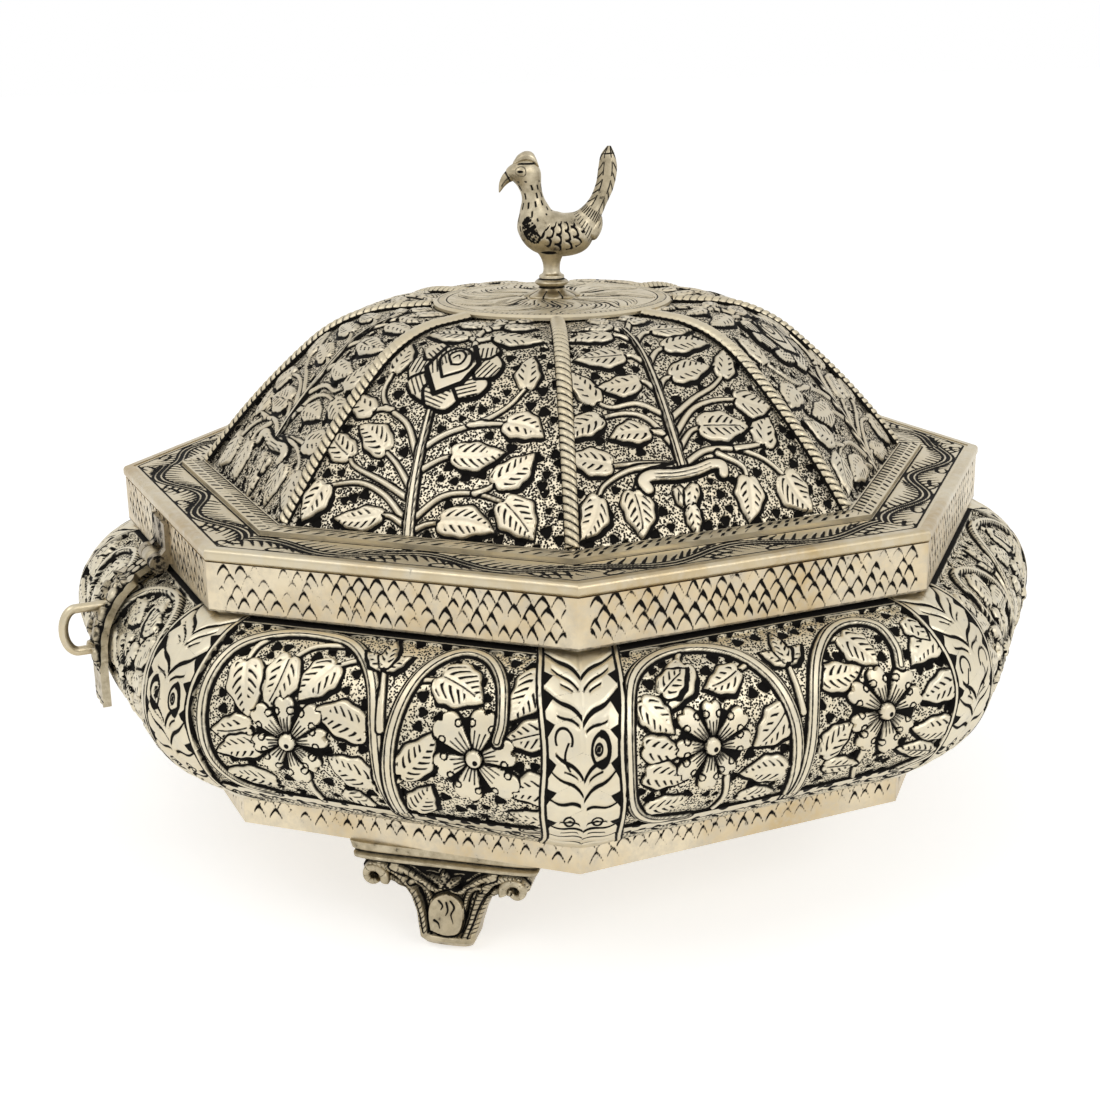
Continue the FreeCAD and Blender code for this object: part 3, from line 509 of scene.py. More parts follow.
def gorePanel(name, section, degrees, draw, sizes, body, node, holes=()):
    # front: the section swept across the side between the two mitres, softened at the seams,
    # swelled by the pillow and pushed out by the drawing's height;
    # back: one thickness in, with far fewer faces unless the panel has holes
    columns, rows, step, thick = sizes["columns"], sizes["rows"], sizes["step"], sizes["thick"]
    run, normals = sectionRun(section)
    size = run[-1]
    share = np.broadcast_to(np.linspace(-1, 1, columns + 1), (rows + 1, columns + 1)).copy()
    v = np.broadcast_to(np.linspace(0, size, rows + 1)[:, None], share.shape).copy()
    missing = None
    if holes:
        missing = np.zeros((rows, columns), bool)
        level, half = np.interp(v, run, section[:, 1]), np.interp(v, run, section[:, 0]) * tanHalf
        u = share * half
        for holeLevel, radius in holes:
            far = np.hypot(u, level - holeLevel)
            inner = faceMean(far) < radius
            missing |= inner
            grown = np.pad(inner, 1)
            touch = grown[:-1, :-1] | grown[1:, :-1] | grown[:-1, 1:] | grown[1:, 1:]
            solid = np.pad(~inner, 1)
            touch &= solid[:-1, :-1] | solid[1:, :-1] | solid[:-1, 1:] | solid[1:, 1:]
            pull = np.where(touch, radius / np.maximum(far, 0.2), 1)
            newLevel = holeLevel + (level - holeLevel) * pull
            share = np.where(touch, u * pull / half, share)
            v = np.where(touch, np.interp(newLevel, section[:, 1], run), v)

    def place(share, v, raised, drop):
        flat, level = np.interp(v, run, section[:, 0]), np.interp(v, run, section[:, 1])
        out, lift = np.interp(v, run, normals[:, 0]), np.interp(v, run, normals[:, 1])
        seam = flat * tanHalf * (1 - np.abs(share))
        belly = np.sin(np.pi * np.clip(v / size, 0, 1)) ** 0.8
        dip = sizes["softCorner"] * np.exp(-(seam / 4.5) ** 2) * belly
        soft = sizes["pillow"] * (1 - share ** 2) * belly - dip
        f = flat + out * (soft + raised - drop)
        return standUp(f, share * f * tanHalf, level + lift * (soft + raised - drop), degrees)

    half = np.interp(v, run, section[:, 0]) * tanHalf
    u = share * half
    work = draw(u, v, half, size)
    edge = np.minimum(np.minimum(half - np.abs(u), v), size - v)
    raised = work.field("raised") * easing(edge, 0, 0.45)
    front = place(share, v, raised, 0)
    piece = Piece()
    if holes:
        slab(piece, front, place(share, v, 0, thick), work.field("ink"), work.field("ground"), missing)
        piece.build(name, sizes["metal"], body, [node])
        return
    a = piece.grid(front, work.field("ink"), work.field("ground"))
    inner = place(share[::step, ::step], v[::step, ::step], 0, thick)
    if sizes.get("sill"):
        inner[0] = standUp(sizes["sill"], share[0, ::step] * sizes["sill"] * tanHalf,
                           section[0, 1] + 0 * share[0, ::step], degrees)
    b = piece.grid(inner)
    piece.skin(a)
    piece.skin(b, flip=True)
    for j in range(0, columns, step):
        piece.face(np.concatenate([a[-1, j:j + step + 1], [b[-1, j // step + 1], b[-1, j // step]]]))
        piece.face(np.concatenate([a[0, j:j + step + 1], [b[0, j // step + 1], b[0, j // step]]]), flip=True)
    for i in range(0, rows, step):
        piece.face(np.concatenate([a[i:i + step + 1, 0], [b[i // step + 1, 0], b[i // step, 0]]]))
        piece.face(np.concatenate([a[i:i + step + 1, -1], [b[i // step + 1, -1], b[i // step, -1]]]),
                   flip=True)
    piece.build(name, sizes["metal"], body, [node])


# Wall panels: two scrolling roundels, each round a flower, between chased corner strips
wallSizes = {"metal": chasedSheet, "columns": 200, "rows": 120, "step": 10, "thick": 1.2, "pillow": 0.6,
             "softCorner": 1.7, "sill": 78.0, "cornerStrip": 6.4, "rim": 46.6, "foot": 12.5}
# columns and rows of the sides whose grid isn't the usual one
wallGrids = {"front": (180, 120), "front_right": (380, 230), "right": (380, 230)}
pinHoles = {"levels": (54.6, 46.1), "panelRadius": 1.6}
wallSection = np.vstack([[80.2, 25.1], arcBetween((85.95, 28.87), (95.0, 45.6), 19.994),
                         arcBetween((95.0, 45.6), (81.2, 61.0), 15.4928)[1:]])

wallDrawings = {
    "first": {
        "stem": 4.0,
        "bands": [[(4.6, 11), (3.4, 20), (2.9, 30), (1.0, 38), (-4.5, 44.2), (-12, 45.8), (-19, 45),
                   (-25.5, 41.5), (-29, 35), (-30, 27), (-29, 19.5), (-25, 14), (-19, 12)],
                  [(5.2, 11), (5.0, 22), (6.4, 32), (9.5, 40.5), (14.5, 45.4), (19.5, 44.8), (23.4, 40.3),
                   (24.9, 34), (24.4, 30.5)],
                  [(29.5, 47), (33.3, 42), (34.4, 35), (35.4, 28), (35, 20), (32.5, 13.5), (27, 11.5)]],
        "stalks": [[(-19.5, 44.5), (-22, 41.5), (-22.8, 38)], [(-4, 44), (-11, 43), (-14.8, 39.5)],
                   [(1.3, 36.5), (-1.5, 41), (-6.5, 39.4)], [(6.8, 33.5), (8.5, 38.3), (13.2, 39.3)],
                   [(5.6, 24), (6.2, 21), (8, 22.5)], [(31.6, 45.5), (30.3, 44), (29.2, 42.6)],
                   [(35, 34), (34.6, 33.5), (33.6, 33)], [(3.2, 25), (1.5, 28), (0.5, 29)],
                   [(4, 16), (2, 18.5), (0.8, 20)], [(-11, 19.5), (-10.6, 15.5), (-9.8, 12)]],
        "leaves": [(-22.6, 38.3, -78, 9.5, 7.6), (-14.8, 40, -108, 10, 7.0), (-6.2, 39.6, -128, 8.6, 6.6),
                   (1.2, 29.2, 168, 10.5, 6.4), (1.4, 20.2, 152, 8.4, 6.4), (-20.5, 27.4, 188, 7.8, 5.6),
                   (-18.8, 24.2, 196, 9.4, 5.0), (-17.6, 16.6, 176, 9.8, 4.4), (-4.5, 16.2, -35, 6.0, 3.6),
                   (13.2, 39.9, -26, 8.8, 8.4), (7.2, 22.6, 52, 10.6, 6.2), (8.2, 14.2, 58, 8.0, 5.4),
                   (29.4, 42.8, -112, 9.6, 6.8), (34.2, 33.4, 199, 9.6, 5.6), (34.4, 22.8, 190, 9.2, 6.4),
                   (33.2, 15.4, 168, 8.0, 4.2)],
        "flowers": [(-13, 25.9, 7.6, 8, 98), (20.6, 27.3, 8.0, 6, 78)],
        "dots": [(-26.4, 32.6), (-26, 29.9), (-22.8, 30.2), (-25, 20.3), (-21.4, 20.4), (-18, 20.4),
                 (-15, 17.4), (-7.2, 18), (-3.4, 17.2), (0.5, 16.5), (-3.2, 26), (0.5, 26.1), (-6, 24.6),
                 (-16.5, 42.4), (-18.7, 42.3), (-8, 42.4), (-5, 42.9), (-10.4, 41), (-2.2, 38.7),
                 (0.7, 33.6), (1.9, 14.2), (-27.2, 38), (-24.2, 40.6), (14.6, 42.9), (17.8, 42.4),
                 (21.6, 37.2), (20, 40), (22.7, 34.4), (10.7, 40.8), (10.5, 36.3), (11, 33.6), (14, 33),
                 (17.2, 33), (27.2, 32.9), (33.5, 29.3), (31, 26.8), (33.8, 26.3), (28.2, 26.4),
                 (26.6, 23.5), (14, 25.4), (12.8, 23.4), (14.4, 18.4), (6.7, 18), (19.6, 18.8), (24.2, 19.3),
                 (31.8, 18.2), (24.4, 44.8), (27.4, 44.4), (24.2, 41.6), (32.2, 40), (31.8, 37),
                 (25.8, 38.5), (16.5, 15.5), (28.5, 17.6), (-13.8, 13.6), (-22.5, 13.4)],
        "bud": (2.6, 40.2)},
    "second": {
        "stem": 1.2,
        "bands": [[(1.6, 11), (0.6, 20), (-0.6, 29), (-3.4, 36.5), (-8.5, 42.4), (-15.5, 45.2),
                   (-22.5, 44.4), (-28, 40.5), (-30.8, 33), (-31.2, 25), (-29.6, 18), (-25, 13.6),
                   (-18, 12)],
                  [(2.4, 11), (2.6, 20), (3.2, 30), (5.6, 37.5), (10.5, 42.8), (16, 44.6), (20.6, 42.6),
                   (22, 38), (21.6, 34.5)],
                  [(29.4, 47), (32.6, 42), (33.8, 35), (34.0, 27), (33.0, 20), (30, 15), (24, 12)]],
        "stalks": [[(-17, 45), (-18.5, 43), (-18.2, 41.5)], [(-6, 40), (-8, 39.2), (-9.5, 38.6)],
                   [(-0.4, 27), (-1.2, 29), (-2, 30.6)], [(0.6, 22), (-0.6, 21), (-1.8, 20.4)],
                   [(5.3, 36.4), (6.4, 36.6), (7.2, 36.2)], [(9, 41.3), (11.5, 41.4), (13.6, 41)],
                   [(3, 25), (4.4, 24.4), (5.6, 24.6)], [(33.6, 37), (32.6, 37.6), (31.8, 38.6)],
                   [(33.9, 28), (33.6, 29.4), (33, 30.2)], [(-13, 21), (-12.4, 16.5), (-13.5, 13)],
                   [(14, 20.5), (13.6, 16.5), (14.6, 13)]],
        "leaves": [(-18, 41.6, -128, 9.4, 6.2), (-9.2, 38.8, -166, 7.2, 5.2), (-27.6, 36.6, -52, 7.6, 5.6),
                   (-28.6, 29.4, -12, 7.4, 5.2), (-28.4, 24.6, -18, 8.2, 5.2), (-2.2, 31, -142, 8.2, 6.4),
                   (-1.8, 20.2, 176, 8.8, 5.8), (-27.4, 17.2, 8, 8.2, 4.2), (-9.4, 15.4, -8, 7.4, 3.6),
                   (-23.6, 37.4, 30, 6.4, 4.6), (5.4, 34.8, 6, 8.8, 5.6), (12.8, 41.4, -52, 7.8, 6.2),
                   (5.6, 21.4, 42, 7.6, 5.4), (6.6, 18.6, -8, 7.2, 3.8), (31.6, 38.8, 214, 8.8, 6.4),
                   (33.2, 30.4, 196, 8.6, 5.6), (32.4, 21.6, 172, 8.8, 5.4), (29.8, 16.2, 164, 8.8, 4.0),
                   (26.4, 42.6, -60, 5.4, 3.8)],
        "flowers": [(-16.4, 27.6, 7.4, 8, 84), (17.4, 27.4, 7.8, 8, 100)],
        "dots": [(-23.6, 42), (-21.2, 42.8), (-12, 42.2), (-9.4, 41.4), (-14.4, 40), (-13.2, 35),
                 (-7.4, 34.6), (-5, 35.4), (-27.6, 32.6), (-25.4, 31.6), (-22.8, 32.2), (-29, 21),
                 (-27, 19.4), (-24.6, 20.6), (-20, 18.4), (-16, 17.4), (-11.4, 20.4), (-9, 24.4),
                 (-4.6, 25.2), (-2.2, 24), (-3, 16.4), (-0.4, 14.6), (-7.4, 18), (-6.4, 41.2), (-25.2, 39.6),
                 (-29.6, 36.2), (8.4, 38.6), (10.6, 38), (7, 40), (12.4, 36), (19.8, 40), (19, 36.6),
                 (23.8, 41), (24, 36.2), (22.6, 32.4), (26, 33), (28, 33.6), (30.4, 34), (6.6, 28),
                 (5, 30.4), (8.6, 26.6), (9.2, 23.6), (26.6, 27.2), (29.8, 26), (31.6, 25.4), (24.6, 23),
                 (22.6, 20), (18, 18.6), (12.6, 19.6), (10.6, 16), (25, 18.6), (20.6, 15.6), (3.8, 16.4),
                 (28.4, 45), (31, 42.6)],
        "bud": (0.4, 38.6)}}


def drawWall(plan, flip):
    def draw(u, v, half, length):
        work = Chasing(-u if flip else u, v, sense=-1 if flip else 1)
        x, y = work.u, work.v
        corner = half.ravel() - np.abs(x)
        for k, (px, py) in enumerate(plan["dots"]):
            work.dot(px, py, 0.82 + 0.26 * ((k * 7) % 5) / 4, k)
        for points in plan["stalks"]:
            work.stem(points, 1.3, 0.9, high=0.12)
        for k, (px, py, way, size, wide) in enumerate(plan["leaves"]):
            work.leaf(px, py, way, size, wide, seed=k * 0.37, rib=k % 4 == 1, bend=0.12 * math.sin(k * 1.7))
        for px, py, size, count, first in plan["flowers"]:
            work.flower(px, py, size, count, first)
        for points in plan["bands"]:
            work.stem(points, 2.5, 2.0, high=0.26, line=0.24, inner=True)
        bx, by = plan["bud"]
        work.stem([(plan["stem"], 30), (plan["stem"] - 0.6, 36), (bx, by)], 1.4, 1.0, high=0.2)
        for way, size in ((146, 5.0), (36, 5.0), (91, 6.6)):
            work.leaf(bx, by, way, size, 3.0, seed=way, strokes=1.1)
        work.scatter(half, length)
        # strip of short leaf strokes along the foot, and the plain rim under the lid, whose top edge carries
        # a painted shadow of the skirt
        foot = wallSizes["foot"]
        work.plain((y < foot) & (corner > wallSizes["cornerStrip"]), -0.05)
        edge = np.abs(y - foot) - 0.2
        work.ink = np.where(corner > wallSizes["cornerStrip"], np.minimum(work.ink, edge), work.ink)
        for k in range(-9, 10):
            for way, base in ((26, 1.2), (154, 6.6)):
                work.leaf(k * 3.9 + (0 if base < 5 else 1.9), base, way, 6.4, 2.7, seed=k * 0.3, high=0.12,
                          strokes=0.9)
        work.plain(y > wallSizes["rim"], 0.1)
        # ink along the rim's engraved line, and black over the top 2.2 mm as painted shadow under the lid's
        # skirt
        rim = np.minimum(np.abs(y - wallSizes["rim"] - 0.1) - 0.17, length - 2.2 - y)
        work.ink = np.where(y > wallSizes["rim"], rim, work.ink)
        drawCorner(work, corner)
        return work
    return draw


# level of the tip on the seam, rise at 5.5 mm from it, half width, where the line starts and ends across
chevrons = [(43.2, 3.8, 0.36, 0.0, 6.4), (40.0, 4.6, 0.25, 0.4, 5.0), (38.4, 4.4, 0.18, 1.4, 3.6),
            (35.2, 3.6, 0.36, 0.0, 6.4), (33.4, 2.6, 0.2, 0.6, 4.4), (24.4, 6.0, 0.36, 0.0, 4.8),
            (22.8, 5.4, 0.17, 1.0, 3.4), (20.6, 5.6, 0.3, 0.0, 6.4), (18.2, 2.2, 0.28, 0.5, 6.4),
            (11.0, 3.2, 0.34, 0.0, 6.4), (12.8, 3.8, 0.2, 0.6, 4.2), (7.0, 3.2, 0.28, 0.0, 6.4),
            (9.0, 3.2, 0.18, 0.8, 4.0), (3.0, 3.2, 0.28, 0.0, 6.4)]


def drawCorner(work, corner):
    # leaf lines that meet in a V on the seam with plain metal between them: each rises from its tip
    # by rise * (corner / 5.5)^0.75 in a slight S; a long eye or a curl sits half way up,
    # a small eye near the foot
    strip = wallSizes["cornerStrip"]
    inside = corner < strip + 1.0
    side = np.sign(work.u)
    c = np.maximum(corner, 0)
    y = work.v + 0.3 * np.sin(work.v * 0.45 + side) - 0.25 * side
    ink = np.full(y.shape, 3.0)
    height = 0.1 + 0.2 * np.sin(np.clip(c / strip, 0, 1) * np.pi)
    for tip, rise, wide, first, last in chevrons:
        line = tip + rise * (c / 5.5) ** 0.75 + 0.35 * np.sin(2 * np.pi * c / 5.5)
        far = np.abs(y - line) * 0.72
        mark = np.maximum(far - wide * (1.15 - 0.55 * c / 5.5), np.maximum(first - c, c - last))
        ink = np.minimum(ink, mark)
        height = height - 0.26 * easing(0.8 - far, 0, 0.8) * ((c >= first) & (c <= last))
    # the eye on one side of the seam, the curl on the other
    almond = np.hypot((c - 3.0) / 1.5, (y - 30.4) / 3.0) - 1
    iris = np.hypot((c - 2.7) / 0.6, (y - 30.6) / 1.05) - 1
    lids = np.abs(almond) * 1.7 - 0.26 - 0.16 * (c > 3.0)
    eye = np.minimum(lids, np.minimum(np.abs(iris) * 0.7 - 0.2, iris * 0.5 + 0.2))
    curl = np.maximum(np.abs(np.hypot(c - 3.3, (y - 31.8) * 0.85) - 1.45) - 0.2, 30.9 - y)
    curl = np.minimum(curl, np.maximum(np.abs(c - 2.4 - 0.8 * np.sin((y - 26.6) / 1.6)) - 0.2,
                                       np.abs(y - 28.9) - 2.6))
    ink = np.minimum(ink, np.where(side < 0, eye, curl))
    small = np.hypot((c - 2.5) / 0.95, (y - 15.4 - 0.3 * (c - 2.5)) / 1.35) - 1
    pupil = np.hypot((c - 2.4) / 0.34, (y - 15.3) / 0.6) * 0.4 - 0.4
    ink = np.minimum(ink, np.minimum(np.abs(small) * 1.1 - 0.2, pupil))
    for level, tall in ((37.6, 1.6), (33.0, 1.2), (27.0, 1.9), (21.4, 1.3), (15.0, 1.4), (41.8, 1.2)):
        wedge = tall * np.clip(1 - (strip - c) / 1.7, 0, 1)
        ink = np.minimum(ink, np.abs(y - level - 0.5 * (strip - c)) * 0.8 - wedge)
    edge = corner - strip - 0.25 * np.sin(work.v * 0.33 + 1.3)
    bars = np.minimum(np.abs(edge) - 0.24, np.abs(edge - 1.0) - 0.2)
    ink = np.where(corner > strip, 3.0, ink)
    work.ink = np.where(inside, np.minimum(ink, bars), np.minimum(work.ink, bars))
    work.raised = np.where(inside, np.where(corner > strip, 0.22, height), work.raised)
    work.ground = np.where(inside, -1.0, work.ground)


for k, side in enumerate(sideNames):
    first = side in ("front_right", "back", "front_left", "left")
    plan = wallDrawings["first" if first else "second"]
    flip = side in ("back", "front_left", "back_right", "front")
    columns, rows = wallGrids.get(side, (wallSizes["columns"], wallSizes["rows"]))
    sizes = dict(wallSizes, columns=columns, rows=rows)
    holes = [(level, pinHoles["panelRadius"]) for level in pinHoles["levels"]] if side == "front" else []
    gorePanel("wall_" + side, wallSection, 45 * k, drawWall(plan, flip), sizes, "box", "body_panel_" + side,
              holes)
print("wall panels chased")


# Dome panels: a flowering tree on each, with the branches ending in single leaves
domeSizes = {"metal": shadedDomeSheet, "columns": 140, "rows": 160, "step": 10, "thick": 1.2, "pillow": 1.6,
             "softCorner": 0.0, "edge": 1.1}
domeSection = np.vstack([arcBetween((67.5, 72.9), (45.5, 98.2), 150.0),
                         arcBetween((45.5, 98.2), (30.0, 104.9), 26.0)[1:],
                         [[25.5, 105.1], [21.0, 105.3]]])
domeDrawings = {
    "rose": {
        "trunk": ([(-2.8, -0.5), (-3.6, 8), (-4.0, 15), (-4.3, 25)], 2.3, 1.5),
        "log": None,
        "branches": [[(-5, 4.5), (-9, 8), (-14, 10), (-19, 9.5), (-21.5, 8.5)],
                     [(-4.5, 3), (-7, 4.2), (-9, 4.2)], [(-5, 8), (-10, 10.5), (-16, 13), (-18, 15)],
                     [(-4.6, 10), (-8, 14), (-11, 16.5)],
                     [(-4.6, 16), (-8, 22), (-13, 25.5), (-15, 29), (-14.4, 33.5)],
                     [(-12, 25), (-14, 25.2), (-16, 24.6)], [(-2.8, 1.5), (0, 3.2), (3, 3.8)],
                     [(-3, 3.5), (2, 8.5), (8, 9.6), (14, 8.4)],
                     [(8, 9.6), (10, 10.6), (11.4, 11.8)], [(-3.4, 13), (0, 15.4), (2.6, 16.4)],
                     [(-3.6, 17.5), (0, 20.5), (6, 23.5), (10, 27), (12.4, 31.6)],
                     [(4, 22.6), (8, 23.2), (11, 23.4)], [(0, 39), (-0.8, 44), (0.6, 49), (3, 54)],
                     [(-0.8, 42), (-3, 43)], [(0, 42), (3, 43.2)], [(0.4, 47), (3, 48)],
                     [(0.2, 46), (-2, 48)]],
        "leaves": [(-21.4, 9.2, -112, 8, 5.8), (-8.8, 4.2, 186, 9.6, 4.8), (-17.8, 15, 138, 8.4, 5.6),
                   (-10.8, 16.6, 146, 8.6, 6), (-14.2, 33.4, 86, 7.6, 4.4), (-15.8, 24.4, 150, 7.6, 5),
                   (2.8, 4, -8, 10.4, 6.4), (13.8, 8.4, -44, 9.2, 7.2), (11.4, 11.8, 50, 8.8, 6.2),
                   (2.4, 16.4, 10, 9.6, 6), (12.4, 31.4, 96, 7.6, 4.8), (10.8, 23.6, -18, 7.6, 6),
                   (-2.6, 43, 172, 9, 4.2), (2.8, 43.2, 6, 9.2, 4.4), (2.8, 48, 20, 6.4, 3.6),
                   (-1.8, 48, 160, 6.4, 3.6), (3, 54, 60, 4.6, 3), (1, 51, 120, 5, 3)],
        "rose": (-2, 33.5),
        "dots": [(-10.5, 33), (-16.8, 31.8), (-12, 28.6), (-10, 25), (-7.4, 16.6), (-13, 13), (-22, 11.6),
                 (-25.2, 12.2), (-8, 9.8), (-13.2, 8), (-17, 6.6), (-25, 1.6), (-21.6, 2), (-17.4, 1.6),
                 (-8.2, 39.6), (-6, 45.6), (-9, 48.6), (-4, 51), (6, 46), (8.6, 53), (13, 39.6), (14, 28),
                 (16.8, 27), (8, 21), (12.6, 19), (11.8, 6.4), (14, 1.8), (18, 1.6), (0.4, 1.4),
                 (15.4, 31.4), (18.2, 17.6), (8.4, 13.4), (-20.6, 21), (-19.8, 29), (9.6, 35.8),
                 (-8.6, 20.4), (5.4, 12.6), (22.4, 4), (-1.4, 21.6), (-16, 20.4), (20.6, 11), (-6.6, 1.4),
                 (10, 1.4)]},
    "log": {
        "trunk": ([(-2.8, 12), (-2.5, 20), (-2, 30), (-1.8, 40), (-2, 45)], 1.9, 1.3),
        "log": [(-10.6, 9.9), (-11.1, 11.3), (-9.2, 12.2), (-4.5, 11.7), (-0.5, 12.0), (3.0, 12.8),
                (4.9, 12.3), (4.7, 10.8)],
        "branches": [[(-3.6, 13.6), (-10, 14.8), (-16, 15.2)],
                     [(-4.2, 13.2), (-12, 14), (-18, 12), (-20.4, 9.4)],
                     [(-5, 13), (-10, 12.8), (-13.6, 9.4)],
                     [(-2.8, 16.5), (-6, 23), (-10, 25), (-15, 24.8)],
                     [(-4.4, 20), (-6, 20.6), (-7.2, 20.6)],
                     [(-2.6, 23.5), (-7, 26.6), (-12, 26.6), (-14.6, 28.4)],
                     [(-2.4, 29), (-4, 31), (-5.4, 31)], [(-2.2, 35), (-4, 37), (-6, 37.2)],
                     [(-2, 41), (-4, 43.4), (-5.6, 43.4)],
                     [(-2, 13.6), (3, 15.7), (9, 15.2), (14, 12.8), (17.4, 8.8)],
                     [(5, 14.8), (9, 12), (9.4, 9)],
                     [(9, 15.4), (13, 15.6), (15.4, 15.8)], [(-2, 16.8), (1, 19.6), (3.6, 20.4)],
                     [(-2, 19.5), (3, 24), (8, 25.5), (13.4, 25.4)],
                     [(-1.9, 22.6), (4, 26.2), (9, 28.5), (12.4, 31)],
                     [(-1.8, 29), (0, 31), (2, 31.4)],
                     [(-1.8, 34.5), (1, 37.4), (3.4, 38.4)], [(-1.8, 40.5), (1, 43), (3.4, 43.4)],
                     [(-2, 44), (-3.4, 47), (-3.4, 53)], [(-2, 44), (0.4, 47.5), (3, 53)]],
        "leaves": [(-16, 15.4, 160, 8.4, 5.8), (-20.2, 9.6, -130, 9.2, 5.6), (-13.4, 9.6, -96, 8.6, 6.4),
                   (-15, 24.8, 204, 8, 5), (-7, 20.6, 182, 7.6, 4.8), (-14.4, 28.2, 108, 8, 5),
                   (-5.2, 31, 176, 8, 4.8), (-5.8, 37.2, 172, 9.4, 5), (-5.4, 43.4, 174, 8.4, 4.2),
                   (17.2, 9, -62, 8.4, 7), (9.4, 9.4, -104, 8.6, 5.8), (15.2, 15.6, 58, 6.4, 5.6),
                   (3.4, 20.4, -6, 10, 6.6), (13, 25.4, -14, 7.4, 6), (12.2, 30.6, 66, 7.4, 4.6),
                   (1.8, 31.4, 10, 9, 5), (3.2, 38.4, 2, 10, 5), (3.2, 43.4, 4, 9.2, 4.4),
                   (-3.4, 50, 100, 6, 3.4), (2, 51, 70, 5.6, 3.4), (-3.4, 47, 165, 6, 3), (1, 48, 20, 6, 3),
                   (-5.2, 9.4, -66, 6.2, 3.0), (-1.4, 9.6, -112, 6.6, 3.0), (-3.2, 5.6, -92, 5.6, 3.2)],
        "rose": None,
        "dots": [(-16.5, 10.8), (-19, 6.6), (-24.4, 1.6), (-19.4, 2), (-11.4, 1.6), (-8, 2.6), (-8.8, 5.6),
                 (-0.8, 1.8), (0, 13.6), (4, 13.2), (6.4, 9.6), (12, 10.4), (9.4, 1.2), (13.6, 2.4),
                 (20.4, 11.4), (14.6, 14), (21.4, 14.4), (11, 17.6), (2.5, 17.8), (14.2, 20.6), (18.4, 21.6),
                 (11, 23.6), (4.6, 24.4), (12.4, 27.6), (1, 26.6), (-5.6, 25.2), (-10, 27.4), (-16.6, 27.2),
                 (-12.5, 34), (-7.4, 34), (-4.4, 34.2), (-4.2, 40.4), (-5, 47), (-11, 47), (-15.2, 40.6),
                 (-11.4, 40.8), (-9.5, 17.2), (-24.6, 15.6), (-23.2, 11.2), (18, 1.4), (4.4, 4.4),
                 (-16.4, 20.6), (-20.6, 28.6), (17, 33.4), (7, 28.4), (9.6, 35), (8, 48), (12, 41.4),
                 (22, 6)]}}


def drawDome(plan, flip):
    def draw(u, v, half, length):
        work = Chasing(-u if flip else u, v, sense=-1 if flip else 1)
        for k, (px, py) in enumerate(plan["dots"]):
            work.dot(px, py, 0.8 + 0.28 * ((k * 7) % 5) / 4, k)
        for points in plan["branches"]:
            work.stem(points, 1.35, 0.85, high=0.12)
        for k, (px, py, way, size, wide) in enumerate(plan["leaves"]):
            work.leaf(px, py, way, size, wide, seed=k * 0.41, rib=k % 5 == 2, bend=0.15 * math.sin(k * 1.3))
        points, wide, thin = plan["trunk"]
        work.stem(points, wide, thin, high=0.24, line=0.22, inner=True)
        if plan["log"]:
            work.stem(plan["log"], 2.5, 2.2, high=0.4, line=0.3)
            for drop in (-0.35, 0.35):
                work.cut([(-8.6, 12.0 + drop), (-4.5, 11.6 + drop), (-0.5, 11.9 + drop), (2.6, 12.6 + drop)],
                         0.24, 0.5)
        if plan["rose"]:
            drawRose(work, *plan["rose"])
        work.scatter(half, length)
        corner = half.ravel() - np.abs(work.u)
        border = np.minimum(corner, work.v + 0.6)
        edge = domeSizes["edge"]
        work.ink = np.where(border < edge, np.abs(border - edge + 0.3) - 0.18, work.ink)
        work.plain(border < edge, 0.0)
        return work
    return draw


def drawRose(work, x, y):
    # an open rose: outer petals first, then the spiral of inner petals over them
    outer = [[(-8, -3), (-9.4, 1), (-7.4, 3.6), (-4, 2), (-4.6, -2)],
             [(-7, -5.4), (-8.6, -2.6), (-4.6, -0.6), (-2.4, -4), (-3.6, -7)],
             [(-3.6, -7.6), (-4.4, -3.6), (0.4, -2.6), (2.8, -5.4), (0.6, -8.6)],
             [(2.4, -6), (0.6, -2.2), (4.4, -0.2), (7.4, -2.2), (5.8, -5.2)],
             [(4.6, -1.6), (3, 2.2), (6, 4.8), (8.8, 2.2), (7.8, -0.8)],
             [(3, 2.6), (1.6, 5.6), (4.6, 7.4), (7.2, 5.6), (6, 3.2)],
             [(-6.4, 2.4), (-7.6, 5.2), (-4.6, 7), (-2.6, 5), (-3.4, 2.4)]]
    for k, corners in enumerate(outer):
        work.plate([(x + a, y + b) for a, b in corners], 0.3, hatch=(-100 + 40 * k, 0.85, 0.66), line=0.34,
                   smooth=True)
    work.plate([(x - 2.2, y - 5.2), (x - 5.4, y + 0.6), (x - 3, y + 5.6), (x + 2.2, y + 5.8),
                (x + 4.4, y + 1.6), (x + 2.4, y - 2.6)], 0.44, hatch=(-70, 0.85, 0.55), line=0.5)
    work.plate([(x - 1.6, y - 1.6), (x - 3.2, y + 2.6), (x - 0.8, y + 5), (x + 2.2, y + 4),
                (x + 2.6, y + 0.6)], 0.52, hatch=(-60, 0.7, 0.5), line=0.3, smooth=True)
    work.plate([(x - 0.6, y + 1.2), (x - 1.6, y + 3.2), (x, y + 4.3), (x + 1.4, y + 3.2), (x + 1, y + 1.4)],
               0.62, line=0.24, smooth=True)
    work.cut([(x - 0.7, y + 2.6), (x + 0.1, y + 3.3), (x + 0.6, y + 2.4)], 0.4, 0.5)


for k, side in enumerate(sideNames):
    rose = side in ("front_right", "back_right", "back_left", "front_left")
    plan = domeDrawings["rose" if rose else "log"]
    flip = side in ("back_right", "front", "back_left", "left")
    sizes = dict(domeSizes, columns=230, rows=250) if side in ("front_right", "right") else domeSizes
    gorePanel("dome_" + side, domeSection, 45 * k, drawDome(plan, flip), sizes, "lid", "dome_panel_" + side)
print("dome panels chased")


